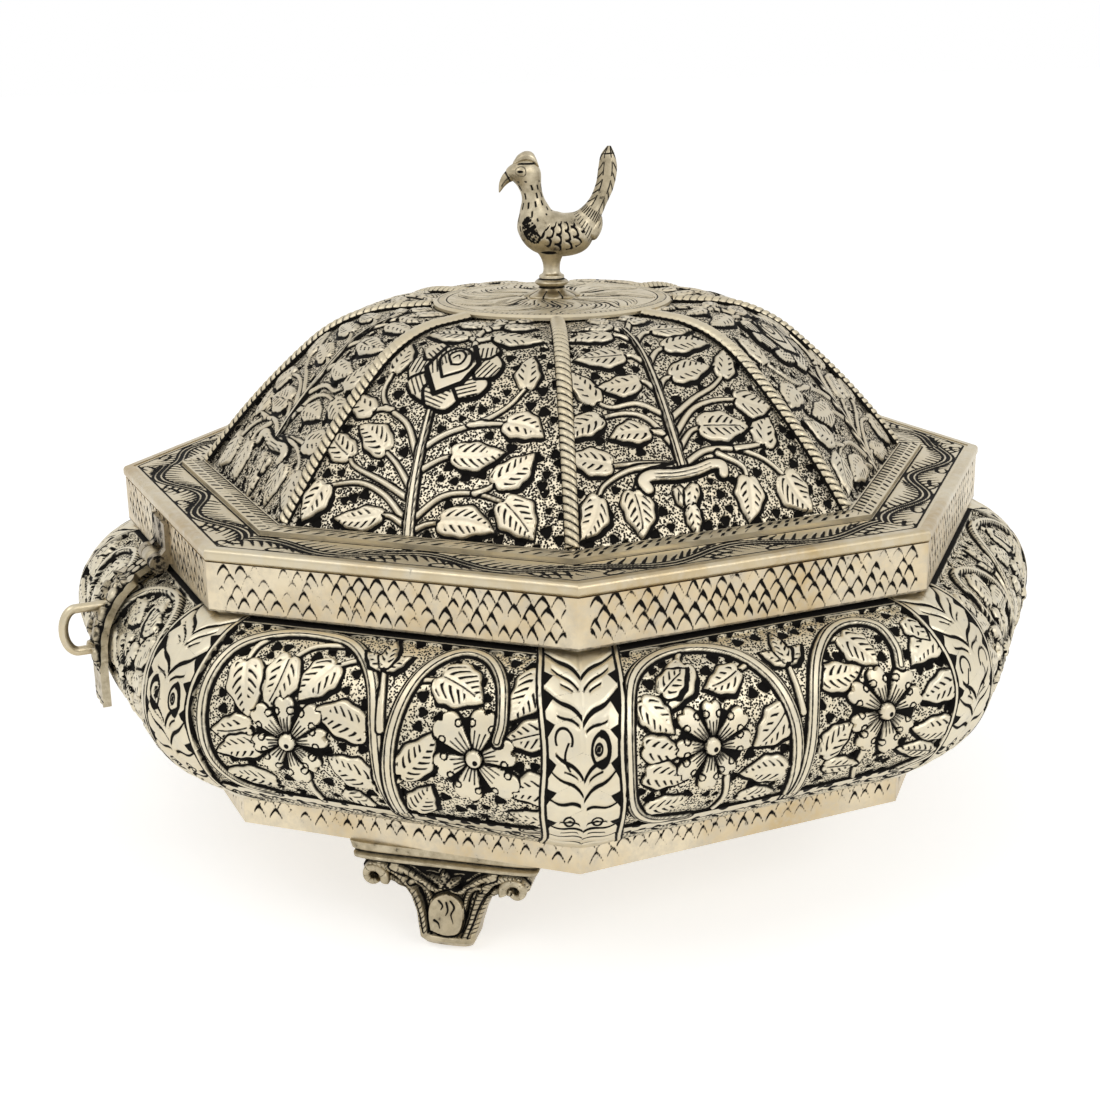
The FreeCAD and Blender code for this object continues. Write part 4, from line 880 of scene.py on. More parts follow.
# Strips that run round all eight sides: skirt, base band, flange and the border at the dome's foot
def ringPiece(name, loop, drawnEdge, sizes, draw, material, body, node):
    # loop holds the corners (flat, level) of the strip's section, up the outer face and back down
    # the inner one; the edge that starts at corner drawnEdge carries the drawing
    columns, rows = sizes["columns"], sizes["rows"]
    loop = np.asarray(loop, float)
    start, finish = loop[drawnEdge], loop[(drawnEdge + 1) % len(loop)]
    size = np.hypot(*(finish - start))
    v = np.linspace(0, sizes.get("shown", size), rows + 1)
    v = np.append(v, size) if v[-1] < size else v
    fine = start + (finish - start) * (v / size)[:, None]
    normal = np.array([finish[1] - start[1], start[0] - finish[0]]) / size
    rest = np.roll(loop, -drawnEdge - 2, axis=0)[:len(loop) - 2]
    share = np.linspace(-1, 1, columns + 1)[None, :-1]
    blocks, inks, grounds = [], [], []
    for k in range(8):
        half = fine[:, :1] * tanHalf
        u = share * half
        vv = np.broadcast_to(v[:, None], u.shape)
        work = draw(u, vv, k)
        fade = easing(np.minimum(vv, size - vv), 0, 0.4)
        raised = work.field("raised") * fade * easing(half - np.abs(u), 0, 0.4)
        f, z = fine[:, :1] + normal[0] * raised, fine[:, 1:] + normal[1] * raised
        low = standUp(rest[:, :1], share * rest[:, :1] * tanHalf, rest[:, 1:] + 0 * share, 45 * k)
        blocks.append(np.concatenate([standUp(f, share * f * tanHalf, z, 45 * k), low]))
        extra = np.ones((len(rest), columns))
        inks.append(np.concatenate([work.field("ink"), 3 * extra]))
        grounds.append(np.concatenate([work.field("ground"), -extra]))
    piece = Piece()
    piece.ring(piece.grid(*(np.concatenate(field, axis=1) for field in (blocks, inks, grounds))))
    piece.build(name, material, body, [node], sharp=50)


def smoothStrip(u, v):
    work = Chasing(u, v, floor=0.0)
    work.ground[:] = -1
    return work


def scaleRows(work, base, count, pitch, tall, salt, heavy=1.0, clear=1.2):
    # rows of pointed arches like fish scales, half a pitch apart: a thin left leg and a heavier right one
    plump = 1.25
    for r in range(count):
        low = base + r * tall
        place = (work.u + pitch / 2 * (r % 2) + 0.5 * np.sin(work.u * 0.21 + salt + r)) / pitch
        cell = np.round(place)
        c = place - cell + 0.2 * (chance(cell, salt + r) - 0.5)
        crest = plump + 0.3 * (chance(cell, salt + r + 13) - 0.5)
        bend = 1.3 + 0.6 * chance(cell, salt + r + 5)
        arch = low + tall * crest * (1 - np.abs(2 * c) ** bend)
        right = c > 0
        wide = np.where(right, 0.23 * heavy * (1.1 - 0.9 * np.abs(c)), 0.14)
        wide = wide * (0.75 + 0.5 * chance(cell, salt + r + 9))
        short, long = 0.32 + 0.18 * chance(cell, salt + r + 7), 0.5 - 0.14 * chance(cell, salt + r + 8)
        reach = np.where(right, long, short)
        steep = 0.48 + 0.2 * np.abs(c)
        span = np.maximum(low - 0.15 - work.v, (np.abs(c) - reach) * pitch)
        far = np.maximum(np.abs(work.v - arch) * steep - wide, span)
        faint = 0.12 * (chance(cell, salt + r + 3) > 0.88)
        faint = faint + 0.08 * (chance(np.floor(cell / 4), salt + r + 11) > 0.85)
        faint = faint + 0.5 * easing(clear - (work.u.max() - np.abs(work.u)), 0, 0.6)
        work.mark(far + faint)
        work.raised -= 0.08 * easing(0.12 - far - faint, 0, 0.25)


skirtSizes = {"columns": 260, "rows": 34, "outer": 83.0, "inner": 81.8, "low": 61.8, "high": 70.7,
              "pitch": 2.95, "scaleRows": 4, "tall": 2.0}
bandSizes = {"columns": 210, "rows": 20, "outer": 79.0, "inner": 77.8, "low": 19.5, "high": 25.1,
             "pitch": 2.9, "scaleRows": 2, "tall": 1.9}
flangeSizes = {"columns": 240, "rows": 36, "outer": 81.3, "inner": 64.8, "low": 71.7, "high": 72.9,
               "shown": 9.4, "wave": 31.0}
borderSizes = {"columns": 160, "rows": 14, "outer": 72.0, "inner": 67.6, "low": 72.9, "high": 73.8}


def squareLoop(sizes):
    outer, inner, low, high = (sizes[key] for key in ("outer", "inner", "low", "high"))
    return [(outer, low), (outer, high), (inner, high), (inner, low)]


def drawSkirt(u, v, k):
    work = smoothStrip(u, v)
    scaleRows(work, 0.25, skirtSizes["scaleRows"], skirtSizes["pitch"], skirtSizes["tall"], salt=k,
              heavy=0.85 + 0.2 * np.clip(work.u / 30, -1, 1) if k == 7 else 1.1, clear=2.0)
    work.mark(np.abs(work.v - 0.12) - 0.12)
    return work


def drawBand(u, v, k):
    work = smoothStrip(u, v)
    size = bandSizes["high"] - bandSizes["low"]
    scaleRows(work, size - 0.5 - 2 * bandSizes["tall"], bandSizes["scaleRows"], bandSizes["pitch"],
              bandSizes["tall"], salt=k + 20, heavy=0.75)
    return work


def drawFlange(u, v, k):
    # a long wave between two border lines, feathered on both sides by short strokes;
    # open loops hang in each crest
    work = smoothStrip(u, v)
    shown, wave = flangeSizes["shown"], flangeSizes["wave"]
    for line in (0.9, shown - 0.4):
        work.mark(np.abs(work.v - line) - 0.2)
    middle, swing, shift = shown / 2 + 0.2, 2.5, 5.0 * math.sin(k * 1.9)

    def level(a):
        return middle + swing * math.cos(2 * math.pi * (a - shift) / wave)

    for lift, wide in ((0.0, 0.85), (-1.05, 0.55), (1.1, 0.6)):
        work.cut([(a, level(a) + lift) for a in np.arange(-36, 36.1, wave / 14)], wide, 1.0)
    for j, a in enumerate(np.arange(-35, 35, 1.75)):
        reach = 2.3 + 1.0 * chance(j, k)
        high, low = min(level(a) + 1.5 + reach, shown - 0.9), max(level(a) - 1.4 - reach, 1.4)
        if high > level(a) + 2.3:
            work.cut([(a, level(a) + 1.5), (a + 0.5, level(a) + 2.2), (a + 2.2, high)], 0.75, 0.35)
        if low < level(a) - 2.2:
            work.cut([(a, level(a) - 1.4), (a + 0.7, level(a) - 1.9), (a + 2.4, low)], 0.75, 0.35)
    for turn in range(-2, 3):
        for dx, dy in ((-6.4, -5.4), (4.6, -5.2)):
            x, y = turn * wave + shift + dx, middle + swing + dy
            work.cut([(x + 3.4, y + 1.5), (x + 1.0, y + 1.2), (x - 0.9, y + 0.5), (x - 1.1, y - 0.5),
                      (x + 0.3, y - 1.0), (x + 2.2, y - 0.4)], 0.8, 0.5)
    return work


def drawBorder(u, v, k):
    # two rows of slanting dashes below a thin line
    work = smoothStrip(u, v)
    size = borderSizes["outer"] - borderSizes["inner"]
    for low, high, pitch, wide in ((2.0, 3.8, 2.0, 0.33), (0.4, 1.7, 2.6, 0.3)):
        beat = (work.u - (work.v - low)) / pitch + 0.15 * np.sin(work.u * 0.5 + k)
        cell = np.floor(beat)
        dash = np.maximum(np.abs(beat - cell - 0.5) * pitch * 0.7 - wide + 0.2 * (chance(cell, k) > 0.85),
                          np.maximum(low - work.v, work.v - high))
        work.mark(dash)
    work.mark(np.abs(work.v - size + 0.4) - 0.16)
    swell = 0.2 * np.cos(np.clip((work.v - size / 2) / size * 2, -1, 1) * np.pi / 2)
    work.raised = swell - 0.1 * easing(0.12 - work.ink, 0, 0.25)
    return work


ringPiece("lidSkirt", squareLoop(skirtSizes), 0, skirtSizes, drawSkirt, scaleSheet, "lid", "lid_skirt")
ringPiece("baseBand", squareLoop(bandSizes), 0, bandSizes, drawBand, scaleSheet, "box", "base_band")
ringPiece("lidFlange", squareLoop(flangeSizes), 1, flangeSizes, drawFlange, engravedSheet, "lid",
          "lid_flange")
ringPiece("domeBorder", squareLoop(borderSizes), 1, borderSizes, drawBorder, engravedSheet, "lid",
          "dome_border")
print("strips engraved")


# Ribs: twisted rope along each seam of the dome
ribSizes = {"width": 3.0, "height": 1.45, "pitch": 1.5, "slant": 0.55, "rows": 230, "columns": 15}
ribLine = np.vstack([arcBetween((72.34, 73.95), (49.25, 98.2), 153.0),
                     arcBetween((49.25, 98.2), (32.47, 104.9), 29.4)[1:], [[24.8, 105.25]]])


def ropeRib(name, degrees, node, worn):
    # half a round, carried along the seam and notched by slanting grooves; worn smooths its upper end
    run, normals = sectionRun(ribLine)
    rows, columns = ribSizes["rows"], ribSizes["columns"]
    v = np.linspace(0, run[-1], rows + 1)[:, None]
    far, level = np.interp(v, run, ribLine[:, 0]), np.interp(v, run, ribLine[:, 1])
    out, lift = np.interp(v, run, normals[:, 0]), np.interp(v, run, normals[:, 1])
    turn = np.linspace(0, np.pi, columns)[None, :]
    across = -np.cos(turn) * ribSizes["width"] / 2
    beat = v / ribSizes["pitch"] + across * ribSizes["slant"] / ribSizes["pitch"]
    gap = np.abs(beat - np.round(beat)) * ribSizes["pitch"] * 0.85
    wear = easing(v / run[-1], 0.45, 0.8) * worn
    groove = 1 - 0.24 * (1 - wear) * easing(0.38 - gap, 0, 0.36)
    rise = ribSizes["height"] * np.sin(turn) ** 0.8 * groove - 0.35
    ink = gap - 0.17 + 0.25 * wear + 0 * across
    ink = np.minimum(ink, np.where((turn < 0.3) | (turn > np.pi - 0.3), -0.2, 3.0) + 0 * v)
    wide = across * np.minimum(1, 0.86 + 0.2 * v / run[-1])
    piece = Piece()
    tube(piece, standUp(far + out * rise, wide, level + lift * rise, degrees), ink)
    piece.build(name, engravedSheet, "lid", [node])


for k in range(8):
    low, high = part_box("dome_rib_%d" % (k + 1))
    middle = (low + high) / 2
    heading = math.degrees(math.atan2(middle.y / mm - axisY, middle.x / mm))
    corner = round((heading - 22.5) / 45) * 45 + 22.5
    worn = 0.8 if k % 3 == 0 else 0.25
    ropeRib("rib_%d" % (k + 1), corner, "dome_rib_%d" % (k + 1), worn)
print("ribs twisted")


# Medallion on top of the dome, and the knop that carries the bird
medallionSizes = {"radius": 24.3, "bore": 1.6, "low": 105.3, "edge": 106.35, "middle": 106.6, "rows": 76,
                  "columns": 400, "petals": 9, "rays": 90}


def drawMedallion():
    # rings at the rim, petals that sway outwards from a small rosette, fine rays between them
    s = medallionSizes
    r = np.linspace(s["radius"], s["bore"], s["rows"] + 1)[:, None]
    a = np.linspace(0, 2 * np.pi, s["columns"], endpoint=False)[None, :]
    ink = np.minimum(np.abs(r - 23.3), np.abs(r - 21.6)) - 0.14 + 0 * a
    notch = a * 22.4 / 1.1
    ink = np.minimum(ink, np.maximum(np.abs(notch - np.round(notch)) * 1.1 - 0.17, np.abs(r - 22.45) - 0.42))
    sway = a + 0.16 * np.sin(r * 0.33) + 0.012 * r
    place = sway * s["petals"] / (2 * np.pi)
    c = place - np.round(place)
    gap = np.abs(c) * 2 * np.pi * r / s["petals"]
    bound = 0.5 * np.sqrt(np.clip(1 - ((r - 12.5) / 8.6) ** 2, 0, 1))
    petal = np.abs(np.abs(c) - bound * 0.9) * 2 * np.pi * r / s["petals"]
    body = np.abs(r - 12.5) < 8.55
    ink = np.minimum(ink, np.where(body, petal - 0.23, 3.0))
    inner = np.abs(np.abs(c) - bound * 0.62) * 2 * np.pi * r / s["petals"]
    ink = np.minimum(ink, np.where(np.abs(r - 13.5) < 6.4, inner - 0.16, 3.0))
    rays = sway * s["rays"] / (2 * np.pi)
    cell = np.round(rays)
    ray = np.abs(rays - cell) * 2 * np.pi * r / s["rays"]
    reach = 7.5 + 9 * chance(cell, 3)
    span = np.maximum(reach - r, r - reach - 3.5 - 3 * chance(cell, 4))
    ink = np.minimum(ink, np.maximum(ray - 0.17, span))
    spray = np.maximum(gap - 0.2, np.abs(r - 17.5) - 3.2)
    ink = np.minimum(ink, spray)
    rosette = r - 5.6 - 0.9 * np.abs(np.sin(a * 4))
    ink = np.minimum(np.where(rosette < 0, 3.0, ink), np.abs(rosette) - 0.17)
    leaf = np.abs(a * 8 / (2 * np.pi) - np.round(a * 8 / (2 * np.pi))) * 2 * np.pi * r / 8
    ink = np.minimum(ink, np.maximum(leaf - 0.13, np.maximum(r - 5.4, 3.4 - r)))
    swell = np.where(body, np.cos(np.clip(c / np.maximum(bound, 0.05), -1, 1) * np.pi / 2), 0)
    raised = 0.22 * swell - 0.15 * easing(0.15 - ink, 0, 0.3)
    return r, a, ink, raised * easing(s["radius"] - r, 0, 0.6)


r, a, ink, raised = drawMedallion()
s = medallionSizes
rim, rise = s["radius"], s["middle"] - s["edge"]
level = s["edge"] + rise * easing(rim - r, 0, 16) + raised - 0.5 * easing(r, rim - 0.6, rim)
outer, inner = turned(rim, a, s["low"]), turned(s["bore"], a, s["low"] + 0.15)
piece = Piece()
plain = np.full((1, s["columns"]), 3.0)
skins = np.concatenate([outer, turned(r, a, level), inner])
piece.ring(piece.grid(skins, np.concatenate([plain, ink, plain])))
piece.build("topMedallion", engravedSheet, "lid", ["top_medallion"], sharp=50)


# radius, level, depth of the flutes
knopProfile = curve([(5.75, 106.62, 1), (5.7, 107.0, 1), (4.6, 107.5, 1), (3.4, 107.9, 0.6), (2.7, 108.4, 0),
                     (2.6, 108.7, 0), (3.3, 109.2, 0), (3.45, 109.6, 0), (3.0, 110.0, 0), (2.55, 110.2, 0),
                     (2.5, 110.4, 0)], 6)


def turnKnop():
    # a turned shape with eight flutes, a fold line in each, and two dark rings
    a = np.linspace(0, 2 * np.pi, 72, endpoint=False)[None, :]
    r, z, depth = (knopProfile[:, k:k + 1] for k in range(3))
    r = r * (1 - 0.14 * depth * (1 - np.abs(np.sin(a * 4))))
    fold = np.abs(np.sin(a * 4)) * 1.2 - 0.16
    rings = np.minimum(np.abs(z - 108.55), np.abs(z - 110.25)) - 0.14
    piece = Piece()
    tube(piece, turned(r, a, z), np.minimum(np.where(depth > 0.5, fold, 3.0), rings + 0 * a))
    piece.build("finialKnop", castSilver, "lid", ["finial_knop"])


turnKnop()
print("medallion and knop engraved")


# Bird: one long skin from crown to tail, with beak, comb, leg and rump feathers
birdSizes = {"foot": 110.4, "turn": 67.5, "wingRise": 0.35, "columns": 96, "neckStroke": 1.7,
             "neckLanes": 5.5, "spot": 0.7, "scaleLength": 1.75, "scaleWidth": 1.9}
# x, z, lean of the ring, half depth, half width
birdSpine = [(-5.0, 23.8, 0, 0.7, 0.5), (-5.0, 23.2, 0, 1.9, 1.5), (-5.4, 21.3, 0, 3.5, 2.5),
             (-4.2, 18.4, 2, 2.4, 2.0), (-3.6, 16.2, 6, 2.2, 1.9), (-3.4, 13.9, 14, 3.0, 2.6),
             (-3.2, 11.5, 30, 4.1, 3.7), (-1.4, 9.4, 58, 4.6, 4.4), (2.2, 8.6, 90, 4.4, 4.4),
             (5.6, 9.3, 112, 4.0, 3.7), (7.6, 11.9, 138, 2.5, 2.4), (9.5, 14.9, 152, 1.8, 1.7),
             (11.0, 18.3, 166, 1.85, 1.3), (11.6, 21.7, 178, 1.9, 1.0), (11.6, 24.3, 184, 1.4, 0.7),
             (11.9, 26.0, 180, 0.4, 0.3)]


def birdPlace(x, y, z):
    return standUp(x, y, birdSizes["foot"] + z, birdSizes["turn"])


def birdBody(piece):
    spine = curve(birdSpine, 16)
    x, up, tilt, deep, wide = (spine[:, k:k + 1] for k in range(5))
    way = np.concatenate([[0], np.cumsum(np.hypot(np.diff(spine[:, 0]), np.diff(spine[:, 1])))])[:, None]
    part = np.linspace(0, len(birdSpine) - 1, len(spine))[:, None]
    turn = np.linspace(0, 2 * np.pi, birdSizes["columns"], endpoint=False)[None, :]
    # 0 along the back, pi along the breast and belly
    around = np.where(turn > np.pi, 2 * np.pi - turn, turn)
    ink = np.full((len(spine), birdSizes["columns"]), 3.0)
    raised = np.zeros_like(ink)
    # eye: a dark slit in a raised ring
    eye = np.hypot((way - 2.5), (around - 1.75) * wide * 1.3)
    ink = np.minimum(ink, np.hypot((way - 2.5) * 1.5, (around - 1.75) * wide) - 0.42)
    ink = np.minimum(ink, np.abs(eye - 1.0) - 0.07)
    raised += 0.22 * np.exp(-(eye / 0.8) ** 2)
    # short strokes down the neck
    stroke, lanes = birdSizes["neckStroke"], birdSizes["neckLanes"]
    lane = around * lanes / np.pi + 0.5 * np.floor(way / stroke)
    cell = np.round(lane) + 17 * np.floor(way / stroke)
    beat = way / stroke - np.floor(way / stroke)
    dash = np.maximum(np.abs(lane - np.round(lane)) * np.pi * wide / lanes - 0.17,
                      (np.abs(beat - 0.5) - 0.34) * stroke)
    ink = np.where((part > 2.6) & (part < 6.1), np.minimum(ink, dash + 0.3 * (chance(cell, 2) > 0.8)), ink)
    # dark punched patch low on the breast
    patch = np.hypot((part - 6.2) / 0.85, (around - 2.05) / 0.42) - 1
    spot = birdSizes["spot"]
    rowCell, laneCell = np.round(way / spot), np.round(around * wide / spot)
    spots = np.hypot(way - rowCell * spot, around * wide - laneCell * spot)
    spots = spots - 0.2 - 0.36 * chance(rowCell * 7 + laneCell, 6)
    ink = np.where(patch < 0, np.minimum(ink, spots), ink)
    # wing: a raised oval with rows of round scales open to the front
    wing = np.hypot((part - 8.1) / 1.35, (around - 1.55) / 0.78) - 1
    long, broad = birdSizes["scaleLength"], birdSizes["scaleWidth"]
    row = way / long
    lap = around * wide / broad + 0.5 * (np.floor(row) % 2)
    c, b = (lap - np.round(lap)) * broad, (row - np.floor(row)) * long
    scale = np.abs(np.hypot(c, b - 0.55) - 0.95) - 0.23
    scale = np.where(b > 0.25, scale, 3.0)
    ink = np.where(wing < -0.05, scale, ink)
    groove = np.where(wing < 0, easing(0.1 - scale, 0, 0.3), 0)
    raised += birdSizes["wingRise"] * easing(-wing, -0.05, 0.25) - 0.15 * groove
    # strokes over the rump, then long ones and edge barbs on the tail
    rump = np.abs(around * 4.2 - np.round(around * 4.2)) / 4.2 * wide - 0.11
    rump = np.maximum(rump, 0.5 - np.abs(np.sin(way * 1.1)))
    ink = np.where((part > 9.2) & (part < 10.6), np.minimum(ink, rump), ink)
    spread = np.cos(turn) * deep
    barb = (way * 0.9 + np.abs(spread) * 1.6) / 1.7
    barbs = np.maximum(np.abs(barb - np.round(barb)) * 1.1 - 0.12, 0.55 * deep - np.abs(spread))
    quill = np.maximum(np.abs(np.abs(spread) - 0.45 * deep) - 0.1, 0.35 - np.abs(np.sin(way * 0.9)))
    band = np.maximum(np.abs(part - 14.1) * 2.0 - 0.12, -1)
    ink = np.where(part > 10.6, np.minimum(np.minimum(barbs, quill), band), ink)
    # the comb sits over a dark line
    ink = np.minimum(ink, np.maximum(np.abs(way - 0.95) - 0.2, around - 2.2))
    lean = np.radians(tilt)
    d, w = (deep + raised) * np.cos(turn), (wide + raised) * np.sin(turn)
    tube(piece, birdPlace(x + d * np.cos(lean), w, up + d * np.sin(lean)), ink)


def birdCone(piece, spine, mark=None):
    # spine rows: x, z, direction of the ring's height, half height, half width
    line = curve(spine, 6)
    turn = np.linspace(0, 2 * np.pi, 28, endpoint=False)[None, :]
    lean = np.radians(line[:, 2:3])
    d, w = line[:, 3:4] * np.cos(turn), line[:, 4:5] * np.sin(turn)
    ink = 3.0 + 0 * d if mark is None else mark(line, turn)
    tube(piece, birdPlace(line[:, :1] + d * np.cos(lean), w, line[:, 1:2] + d * np.sin(lean)), ink)


def beakLine(line, turn):
    mouth = np.where(line[:, 0:1] > -9.9, np.abs(np.cos(turn) + 0.15) * line[:, 3:4] - 0.1, 3.0)
    return np.minimum(mouth, np.abs(line[:, 0:1] + 8.5) - 0.12)


piece = Piece()
birdBody(piece)
birdCone(piece, [(-6.8, 20.9, 98, 1.5, 1.4), (-8.1, 20.5, 112, 1.25, 1.1), (-9.0, 19.8, 130, 1.0, 0.85),
                 (-9.7, 18.8, 146, 0.68, 0.55), (-10.1, 17.8, 156, 0.34, 0.3), (-10.3, 17.2, 160, 0.1, 0.1)],
         mark=beakLine)
birdCone(piece, [(-7.4, 23.0, 70, 0.4, 0.5), (-6.6, 23.5, 80, 1.0, 1.1), (-5.0, 24.1, 88, 1.15, 1.35),
                 (-3.4, 23.8, 96, 1.2, 1.25), (-2.5, 22.9, 105, 0.9, 0.9), (-2.3, 22.4, 110, 0.2, 0.3)])
birdCone(piece, [(5.8, 8.2, 126, 0.5, 0.8), (7.4, 9.0, 127, 2.1, 2.3), (8.6, 10.0, 130, 2.0, 1.9),
                 (9.6, 11.2, 134, 1.3, 1.2), (10.2, 12.2, 138, 0.3, 0.4)],
         mark=lambda line, turn: np.abs(np.sin(turn * 5 + 0.4 * line[:, :1])) * 0.7 - 0.18)
legProfile = curve([(2.6, 0), (2.5, 0.5), (1.9, 0.9), (1.7, 1.6), (1.75, 2.6), (2.0, 3.6), (2.5, 4.6),
                    (3.2, 5.5), (3.4, 6.4)], 6)
turn = np.linspace(0, 2 * np.pi, 48, endpoint=False)[None, :]
tube(piece, turned(legProfile[:, :1], turn, birdSizes["foot"] + legProfile[:, 1:]),
     np.abs(legProfile[:, 1:] - 5.3) - 0.16 + 0.2 * np.sin(turn * 3) + 0 * turn)
tube(piece, turned(1.5, turn[:, ::3], np.array([[101.3], [110.5]])))  # the tang
piece.build("birdFinial", castSilver, "lid", ["bird_finial"])
print("bird made")


# Feet: cast scroll feet; every level is a ring of the modelled front and a plain hollow back
footSizes = {"front": 78.6, "height": 19.5, "rows": 110, "columns": 150}
footHeadings = {"foot_front": -40, "foot_back": 80, "foot_left": 200}
# level and half width, then level and depth of the front and of the back
footOutline = [(0, 3.3), (0.7, 4.5), (1.8, 5.1), (3.4, 5.4), (6.2, 6.2), (9.0, 7.3), (11.0, 8.4),
               (11.7, 11.6), (12.0, 14.2), (13.0, 15.4), (14.6, 15.8), (15.8, 15.2), (16.5, 15.6),
               (16.6, 17.0), (17.3, 17.4), (17.7, 17.1), (18.0, 17.6), (19.5, 18.0)]
footFront = [(0, -2.2), (0.8, -0.4), (2.0, 0.6), (3.3, 0.4), (6, -0.8), (9, -1.2), (12, -0.6), (15, 0.4),
             (16.4, 0.7), (16.7, 1.0), (17.2, 0.6), (17.6, -0.1), (18.0, 0.3), (19.5, 0.4)]
footBack = [(0, -5.0), (3, -6.0), (6, -6.6), (12, -10.0), (15.6, -12.4), (19.5, -13.0)]
footRopes = [[(12.0, 12.6), (12.8, 12.0), (14.2, 12.3), (14.8, 13.8), (13.6, 15.3), (11.5, 15.6),
              (9.2, 14.8), (7.5, 12.8), (6.2, 10.3), (5.2, 7.3), (4.5, 4.8), (3.6, 2.6)],
             [(10.4, 13.0), (9.2, 12.2), (7.9, 10.6), (6.7, 8.2), (5.7, 5.4), (4.9, 3.2)],
             [(9.4, 15.9), (6.6, 14.4), (4.2, 12.4), (2.2, 11.4), (0, 12.3)],
             [(6.4, 12.6), (4.8, 12.0), (3.7, 10.2), (3.2, 8.2), (2.9, 6.0)]]


def drawFoot(x, z):
    work = Chasing(x, z, floor=-1.1)
    for way in (-1, 1):
        for k, points in enumerate(footRopes):
            path = [(way * a, b) for a, b in points]
            work.stem(path, (2.1, 1.5, 1.5, 1.2)[k], (1.6, 1.3, 1.4, 1.0)[k], high=(0.7, 0.3, 0.4, 0.0)[k],
                      line=0.19)
            line = curve(path, 6)
            for j in range(2, len(line) - 2, 2):
                ax, ay = line[j]
                dx, dy = line[j + 1] - line[j - 1]
                size = math.hypot(dx, dy)
                nx, ny = -dy / size * 0.6, dx / size * 0.6
                lx, ly = dx / size * 0.3, dy / size * 0.3
                work.cut([(ax - nx + lx, ay - ny + ly), (ax + nx - lx, ay + ny - ly)], 0.2, 0.6,
                         smooth=False)
    work.plate([(-3.2, 3.4), (-3.9, 6.4), (-3.0, 9.2), (0, 10.8), (2.6, 9.0), (3.2, 6.4), (2.6, 3.6),
                (0, 2.8)], 0.3, line=0.15, smooth=True)
    for points in ([(-1.6, 9.0), (-0.9, 8.2), (-1.2, 7.4)], [(0.6, 9.2), (1.3, 8.0), (0.7, 6.6), (1.2, 5.2)],
                   [(-0.2, 8.8), (0.1, 7.4), (-0.3, 6.4)], [(-2.4, 5.4), (-1.6, 5.0), (-1.2, 4.2)]):
        work.cut(points, 0.42, 0.4)
    work.dot(-1.0, 7.9, 0.4)
    work.leaf(0, 12.6, 90, 3.4, 2.4, strokes=0.7, high=0.3)
    work.leaf(-0.6, 12.4, 140, 3.4, 1.8, strokes=0.7, high=0.2)
    work.leaf(0.6, 12.4, 40, 3.4, 1.8, strokes=0.7, high=0.2)
    x, z = work.u, work.v
    # open hollows go black; the toe and the moulded top stay smooth
    work.mark(0.55 - work.ground)
    toe, top = easing(3.4 - z, 0, 0.9), easing(z, 15.9, 16.5)
    work.raised = work.raised * (1 - toe) * (1 - top) + 0.35 * toe * np.clip(1 - (x / 4.6) ** 2, 0, 1)
    keep = (z < 2.7) | (z > 16.4)
    work.ink = np.where(keep, 3.0, work.ink)
    for line in (16.5, 17.7):
        work.mark(np.abs(z - line) - 0.16)
    crease = np.maximum(np.abs(z - 2.9 - 0.08 * x ** 2) - 0.2, np.abs(x) - 3.4)
    work.ink = np.where(z < 3.6, np.minimum(work.ink, crease), work.ink)
    work.ground[:] = np.where(keep, -1.0, work.ground)
    return work


def castFoot(node, degrees):
    s = footSizes
    z = np.linspace(0, s["height"], s["rows"] + 1)[:, None]
    table = [np.asarray(t, float) for t in (footOutline, footFront, footBack)]
    half, front, back = (np.interp(z, t[:, 0], t[:, 1]) for t in table)
    share = np.sin(np.linspace(-1, 1, s["columns"])[None, :] * np.pi / 2)
    x = share * half
    work = drawFoot(x, z + 0 * x)
    edge = easing(half - np.abs(x), 0, 0.9)
    level = work.field("raised") * (0.25 + 0.75 * edge)
    depth = s["front"] + front + level - 1.1 * (1 - np.sqrt(np.clip(1 - np.abs(share) ** 6, 0, 1)))
    behind = np.linspace(1, -1, 9)[None, :]
    hollow = s["front"] + back + 0 * behind
    flat = np.concatenate([depth, hollow], axis=1)
    across = np.concatenate([x, behind * half * 0.96], axis=1)
    plain = 3.0 + 0 * behind + 0 * z
    ink = np.concatenate([work.field("ink"), plain], axis=1)
    ground = np.concatenate([work.field("ground"), plain * 0 - 1], axis=1)
    piece = Piece()
    tube(piece, standUp(flat, across, z + 0 * flat, degrees), ink, ground)
    # the free ends of the scrolls curl out in the round
    for way in (-1, 1):
        a = np.linspace(0, 1, 60)[:, None]
        turn = np.radians(200 - 330 * a)
        size = 2.2 - 1.3 * a
        cx, cz = way * (13.2 + size * np.cos(turn)), 13.4 + size * np.sin(turn)
        phase = np.linspace(0, 2 * np.pi, 20, endpoint=False)[None, :]
        thick = 0.95 - 0.35 * a
        rope = np.abs(np.sin(a * 20 + phase * 0.5)) - 0.09
        thick = thick * (1 - 0.12 * easing(0.2 - rope, 0, 0.3))
        outward = s["front"] + 0.55 - 0.3 * a + thick * np.sin(phase) * 1.2
        across = cx + way * thick * np.cos(phase) * np.cos(turn)
        level = cz + thick * np.cos(phase) * np.sin(turn)
        tube(piece, standUp(outward, across, level, degrees), rope + 0 * phase)
    piece.build(node.replace("_", "") + "Scroll", castSilver, "box", [node])


for node, heading in footHeadings.items():
    castFoot(node, heading)
print("feet cast")


# Clasp: a cast strap that hangs from the lid and the wire that locks it
strapSizes = {"centre": (79.51, 45.6), "back": 16.79, "face": 18.39, "pin": (85.3, 62.6), "eye": 1.8,
              "bore": 0.75, "tongue": 2.5, "half": 4.5, "tab": 3.7, "low": 35.2, "rows": 150,
              "columns": 44, "wire": 0.92, "loop": 103.38, "bend": 2.6, "knobs": 5, "knobStep": 3.9}


